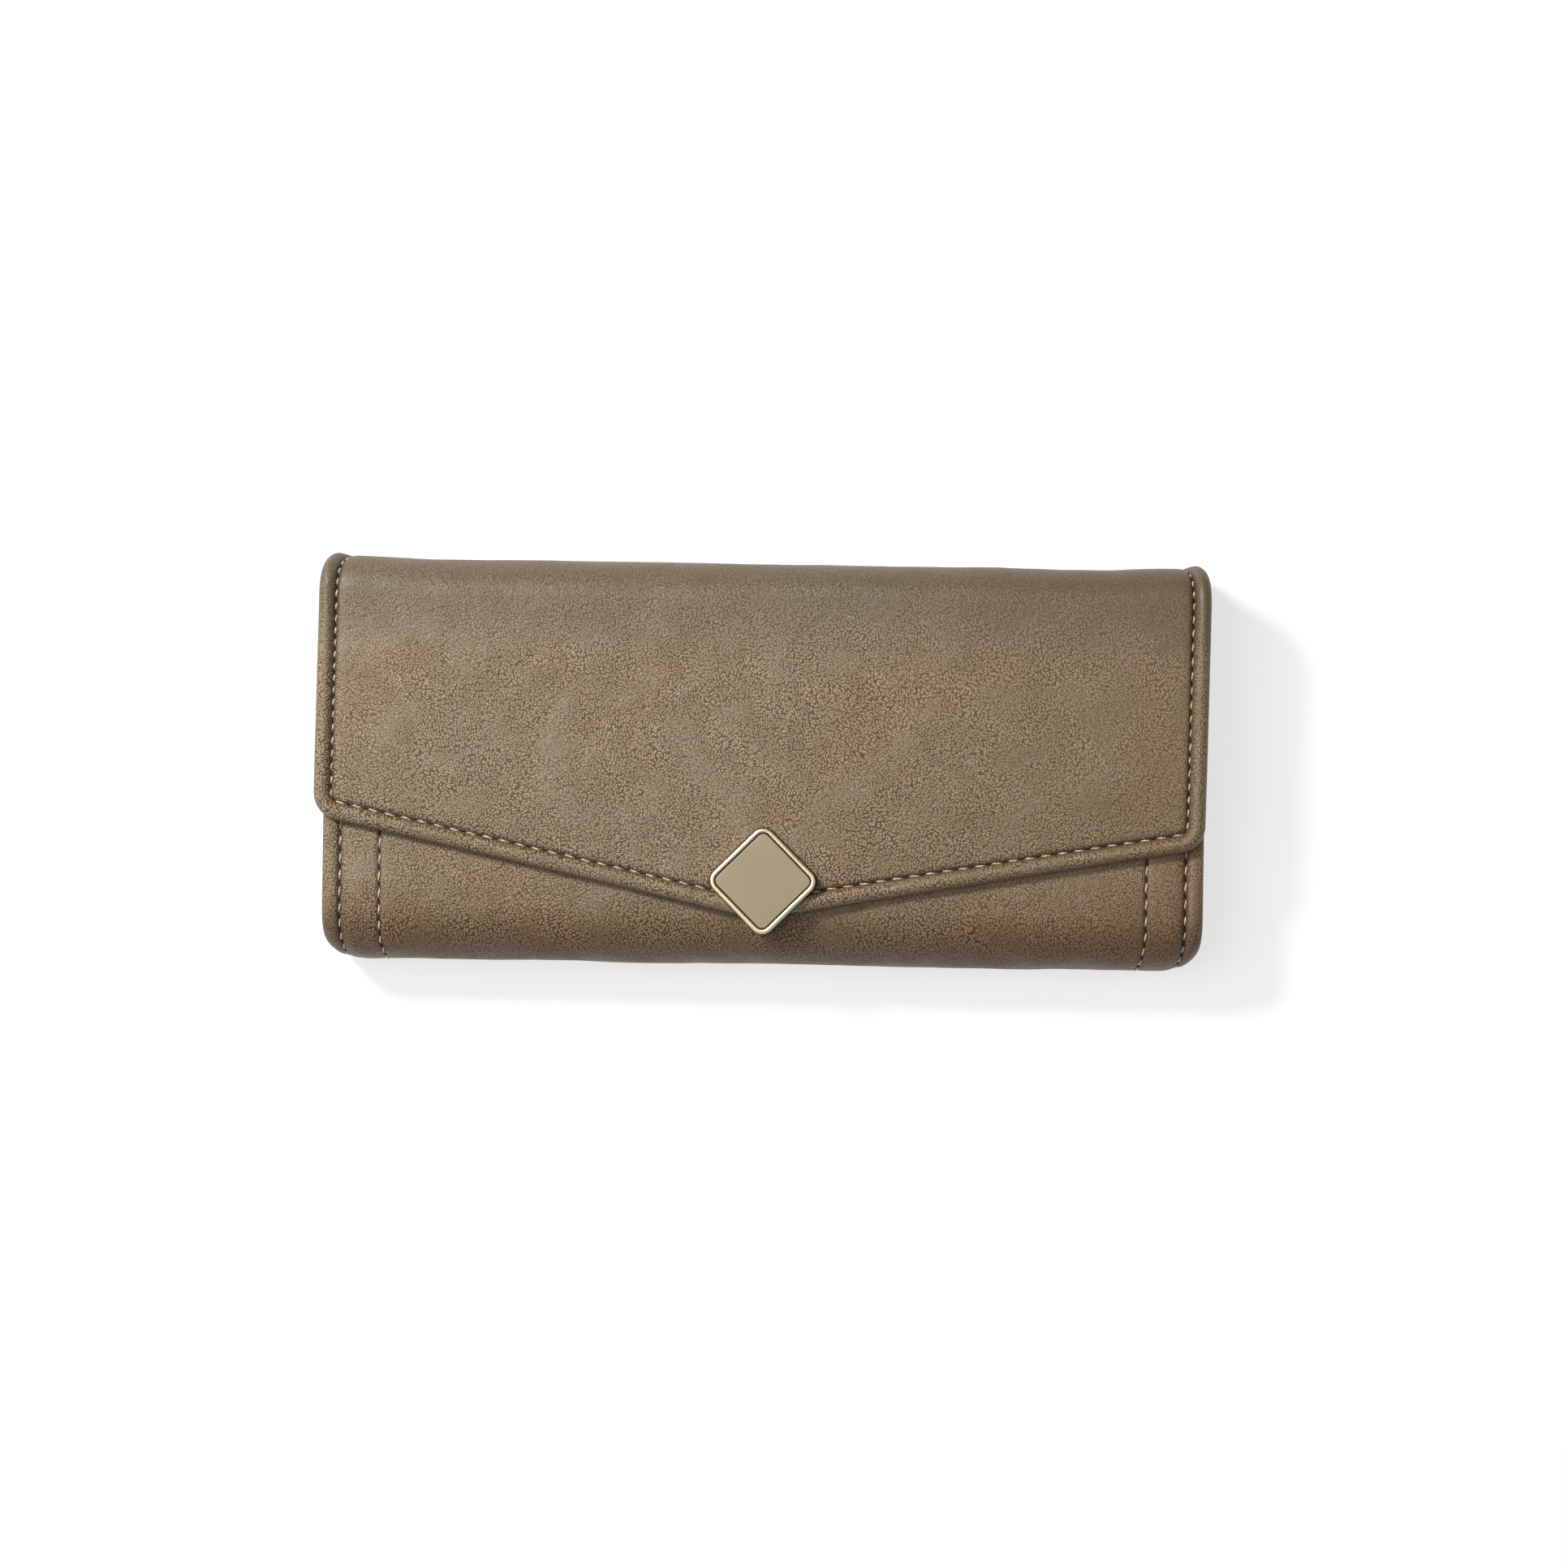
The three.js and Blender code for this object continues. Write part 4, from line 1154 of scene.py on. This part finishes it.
def make_coin_pocket():
    middle = centre_of("coin_pocket_bottom")[2]
    for wall, facing in (("rear", -1), ("front", 1)):
        node = f"coin_pocket_{wall}_wall"
        low, high = corners(node)

        def puff(u, v, facing=facing, low=low, high=high):
            across = hump((u - low[0]) / (high[0] - low[0])) ** 0.5
            upward = hump((v - low[1]) / (high[1] - low[1])) ** 0.7
            return facing * 0.55 * across * upward + 0.09 * noise(u, v, 15, 40)

        piece = make_panel(node, "coin_pocket", INNER, puff, high[1] - 3.2)
        surface = flat_surface(high[2] if facing > 0 else low[2], facing)
        seam = np.array([[low[0] + 2, high[1] - 1.5], [high[0] - 2, high[1] - 1.5]])
        for piece in make_stitches(f"coin_pocket_{wall}_seam", [(seam, INNER_PITCH, surface)]):
            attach(piece, "coin_pocket")
    make_panel("coin_pocket_bottom", "coin_pocket", INNER)
    for side, sign in SIDES:
        tuck = lambda u, v: -sign * 0.35 * hump((u - middle + 2.6) / 5.2)
        make_panel(f"coin_pocket_side_{side}", "coin_pocket", INNER, tuck, step=1.0)
        make_panel(f"zip_end_tab_{side}", "coin_pocket", INNER, step=1.0)


GUSSET_THICKNESS = 0.45
GUSSET_DEPTH = {"least": 2.6, "more": 6.0, "ripple": 0.25}


def gusset_line(depth):
    """The folded section of the rear gusset as x and z, with its fold pushed in by depth."""
    low, high = corners("rear_gusset_right")
    inner, outer = high[2] - 0.2, low[2] + 0.2
    middle = (outer + inner) / 2 + 1.1
    edge = 84.6
    return rounded_line([
        (87.6, outer, 0), (edge - 0.9, outer, 0.7), (edge - 1.8, outer + 2.5, 1.5),
        (edge - depth, middle, 0.55), (edge - 1.7, inner, 1.2), (86, inner, 0),
    ], 6)


def make_gusset(panel, side, sign):
    node = f"{panel}_gusset_{side}"
    low, high = corners(node)
    heights = np.concatenate([np.linspace(low[1], high[1] - 0.5, 34),
                              high[1] - np.array([0.3, 0.15, 0.06, 0.01])])
    rings, own = [], []
    for y in heights:
        opened = 0.5 + 0.5 * smooth((y - low[1]) / 34)
        ripple = GUSSET_DEPTH["ripple"] * math.sin(0.31 * y + sign)
        line = gusset_line(GUSSET_DEPTH["least"] + GUSSET_DEPTH["more"] * opened + ripple)
        along = np.gradient(line, axis=0)
        along /= np.linalg.norm(along, axis=1, keepdims=True)
        normal = np.column_stack([-along[:, 1], along[:, 0]])
        thickness = GUSSET_THICKNESS / 2 * math.sqrt(1 - max(0, 1 - (high[1] - y) / 0.25) ** 2)
        ends = np.ones(len(line))
        ends[[0, -1]] = 0.25
        offset = normal * (thickness * ends)[:, None]
        section = np.concatenate([line + offset, (line - offset)[::-1]])
        z = section[:, 1] if panel == "rear" else FRONT_Z - section[:, 1]
        rings.append(np.column_stack([sign * section[:, 0], np.full(len(z), y), z]))
        reach = np.concatenate([np.arange(len(line)), np.arange(len(line))[::-1]]) * 0.8
        own.append(np.column_stack([reach + 90 * sign, np.full(len(z), y), z * 0]))
    rings = np.array(rings)
    piece = make_object(f"{node}_pleat", rings, ring_faces(*rings.shape[:2]), INNER,
                        {"leather": np.array(own)})
    if panel == "rear":
        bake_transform(piece)
    else:
        pocket = (low[2] + 0.2) * MM
        reach = high[2] * MM - pocket
        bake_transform(piece)
    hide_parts(node)


# ------------------------------------------------------------------ zip

UPRIGHT = (0, 2, 1)  # turns a stack of levels so that it rises along Y
TOOTH_PITCH = 1.5
TOOTH_SECTIONS = [(1.2, 0.5, 0.5), (1.12, 0.56, 0.7), (0.8, 0.56, 0.75), (0.62, 0.4, 0.68),
                  (0.3, 0.33, 0.6), (0.05, 0.34, 0.6), (-0.2, 0.32, 0.56), (-0.34, 0.2, 0.4)]


def make_zip():
    """The two rows of teeth on their tapes, and the stops at their ends."""
    middle = centre_of("zip_slider")[2]
    for row, sign in (("rear", -1), ("front", 1)):
        node = f"zip_teeth_{row}"
        low, high = corners(node)
        y = (low[1] + high[1]) / 2
        count = int((high[0] - low[0] - TOOTH_PITCH) / TOOTH_PITCH)
        first = low[0] + TOOTH_PITCH * (0.75 if sign > 0 else 1.5)
        x = first + TOOTH_PITCH * np.arange(count)
        stacks = []
        for reach, half_x, half_y in TOOTH_SECTIONS:
            ring = rounded_square(half_x, half_y, 0.7 * min(half_x, half_y), 2)
            stacks.append(np.column_stack([ring, np.full(len(ring), sign * reach)]))
        stacks = np.array(stacks)[None] + np.stack(
            [x, np.full(count, y), np.full(count, middle)], -1)[:, None, None]
        teeth = many_rings(f"{node}_single", stacks, BRASS)
        place_on(teeth, "coin_pocket", node)
        make_panel(f"zip_tape_{row}", "coin_pocket", TAPE, step=1.5)
    for side, _ in SIDES:
        node = f"zip_stop_{side}"
        low, high = corners(node)
        half = (high - low) / 2
        levels = [(0.3, -half[1]), (0.08, 0.2 - half[1]), (0, 0.4 - half[1]), (0, half[1] - 0.4),
                  (0.08, half[1] - 0.2), (0.3, half[1])]
        stop = stacked(f"{node}_crimp", half[0], half[2], 0.5, levels, BRASS, centre_of(node),
                       tilt=UPRIGHT)
        place_on(stop, "coin_pocket", node)


def join(name, parts):
    """One object of several closed pieces."""
    work = bmesh.new()
    for part in parts:
        work.from_mesh(part.data)
        bpy.data.objects.remove(part)
    mesh = bpy.data.meshes.new(name)
    work.to_mesh(mesh)
    work.free()
    mesh.materials.append(BRASS)
    return add_object(name, mesh)


def make_slider():
    low, high = corners("zip_slider")
    x, _, z = centre_of("zip_slider")
    top = corners("zip_tape_rear")[1][1] + 1.2
    pin = high[1] - 0.9
    outer = [(0.3, 0), (0.06, 0.06), (0, 0.22), (0, 0.5), (0.1, 0.68), (0.35, 0.78), (1.3, 0.84)]
    inner = [(0.3, 0), (0.06, 0.08), (0, 0.25), (0, 0.75), (0.06, 0.92), (0.3, 1)]
    lip = [(0.1, 0), (0, 0.1), (0, 0.8)]
    ear = [(0.15, -0.3), (0, -0.18), (0, 0.18), (0.15, 0.3)]
    parts = [
        stacked("outer", 5, 2.9, 2.2, outer, BRASS, (x, top, z), tilt=UPRIGHT),
        stacked("inner", 5, 1.9, 1.6, inner, BRASS, (x, low[1], z), tilt=UPRIGHT),
        stacked("post", 1.25, 0.2, 0.15, [(0, 0), (0, 2.9)], BRASS, (x + 3.2, low[1] + 0.8, z),
                tilt=UPRIGHT),
        lathe("pin", (x, pin, z), [(0.3, -2.4), (0.5, -2.25), (0.5, 2.25), (0.3, 2.4)], BRASS,
              around=20),
    ]
    for sign in (-1, 1):
        parts.append(stacked("lip", 3.2, 0.2, 0.15, lip, BRASS, (x, top - 0.7, z + sign * 2.65),
                             tilt=UPRIGHT))
        parts.append(stacked("ear", 1.2, 1.6, 1.1, ear, BRASS, (x, pin - 0.7, z + sign * 1.9)))
    slider = join("zip_slider_body", parts)
    place_on(slider, "zip_slider", "zip_slider")
    eye = lathe("eye", (x, pin, z), [(0.56, -1.35), (1.1, -1.38), (1.28, -1.2), (1.3, 0),
                                     (1.28, 1.2), (1.1, 1.38), (0.56, 1.35)], BRASS, closed=True,
                around=24)
    neck = stacked("neck", 2.1, 1.35, 0.3, [(0.15, -0.42), (0, -0.3), (0, 0.3), (0.15, 0.42)], BRASS,
                   (x - 2.95, pin, z), tilt=UPRIGHT)
    tab_levels = [(0.3, -0.45), (0.07, -0.38), (0, -0.2), (0, 0.2), (0.07, 0.38), (0.3, 0.45),
                  (0.75, 0.45), (0.9, 0.34), (1.9, 0.32)]
    tab = stacked("tab", 5.25, 2.5, 1.8, tab_levels, BRASS, (x - 9.2, pin, z), tilt=UPRIGHT)
    pull = join("zip_pull_tab", [eye, neck, tab])
    place_on(pull, "zip_pull", "zip_pull")


NODE_MATERIALS = {"board": BOARD, "rivet": GOLD, "magnet": IRON, "base_plate": BRASS}


def paint_nodes():
    """The pieces that stay as CAD made them get their materials."""
    for name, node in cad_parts.items():
        for word, material in NODE_MATERIALS.items():
            if word in name:
                node.data.materials.clear()
                node.data.materials.append(material)


# ------------------------------------------------------------------ light, floor and camera

# The view from above: its width at the flap, its middle, its turn in degrees and its distance.
VIEW = {"width": 343.9, "centre": (4.34, -4.38), "turn": 0.9, "distance": 1200}
# Place in metres, size in metres and watts.
LIGHTS = {
    "window": ((-0.42, 0.34, 0.58), 0.16, 6),
    "softbox": ((-0.55, 0.1, 1.5), 0.9, 8),
    "reflector": ((0.7, 0.1, 0.8), 0.4, 0.6),
}
AIR_STRENGTH = 0.16
FLOOR_GLOW = 0.68
FLOOR_HALF_SIZE = 40  # metres, so that its far edge stays near the horizon


def add_light(name, place, size, watts):
    light = bpy.data.lights.new(name, "AREA")
    light.shape = "DISK"
    light.size = size
    light.energy = watts
    obj = add_object(name, light)
    obj.location = place
    obj.rotation_euler = (-obj.location).to_track_quat("-Z", "Y").to_euler()


def floor_material():
    """A white sheet with light under it."""
    m = Material("pale_floor", roughness=0.7, Specular_IOR_Level=0.2)
    m.color((0.4, 0.4, 0.4, 1))
    m.set(m.shader.inputs["Emission Color"], (1, 1, 1, 1))
    m.set(m.shader.inputs["Emission Strength"], FLOOR_GLOW)
    return m.made


def make_studio():
    scene = bpy.context.scene
    scene.view_settings.view_transform = "Standard"
    world = bpy.data.worlds.new("studio_air")
    world.use_nodes = True
    air = world.node_tree.nodes["Background"]
    air.inputs["Color"].default_value = (1, 1, 1, 1)
    air.inputs["Strength"].default_value = AIR_STRENGTH
    scene.world = world
    for name, light in LIGHTS.items():
        add_light(name, *light)
    mesh = bpy.data.meshes.new("floor")
    size = FLOOR_HALF_SIZE
    mesh.from_pydata([(-size, -size, 0), (size, -size, 0), (size, size, 0), (-size, size, 0)],
                     [], [(0, 1, 2, 3)])
    mesh.materials.append(floor_material())
    add_object("floor", mesh)


def make_camera():
    data = bpy.data.cameras.new("camera")
    data.sensor_width = 36
    data.lens = data.sensor_width * VIEW["distance"] / VIEW["width"]
    data.clip_end = 20
    camera = add_object("camera", data)
    x, y = VIEW["centre"]
    camera.location = Vector((x, y, VIEW["distance"] + FLAP_Z)) * MM
    camera.rotation_euler = (0, 0, math.radians(VIEW["turn"]))
    bpy.context.scene.camera = camera


make_camera()
make_studio()
make_cover()
make_linings()
make_flap_board()
make_all_stitching()
make_emblem()
make_snap()
make_card_pockets()
make_coin_pocket()
for gusset_panel in ("rear", "front"):
    for gusset_side, gusset_sign in SIDES:
        make_gusset(gusset_panel, gusset_side, gusset_sign)
make_zip()
make_slider()
paint_nodes()
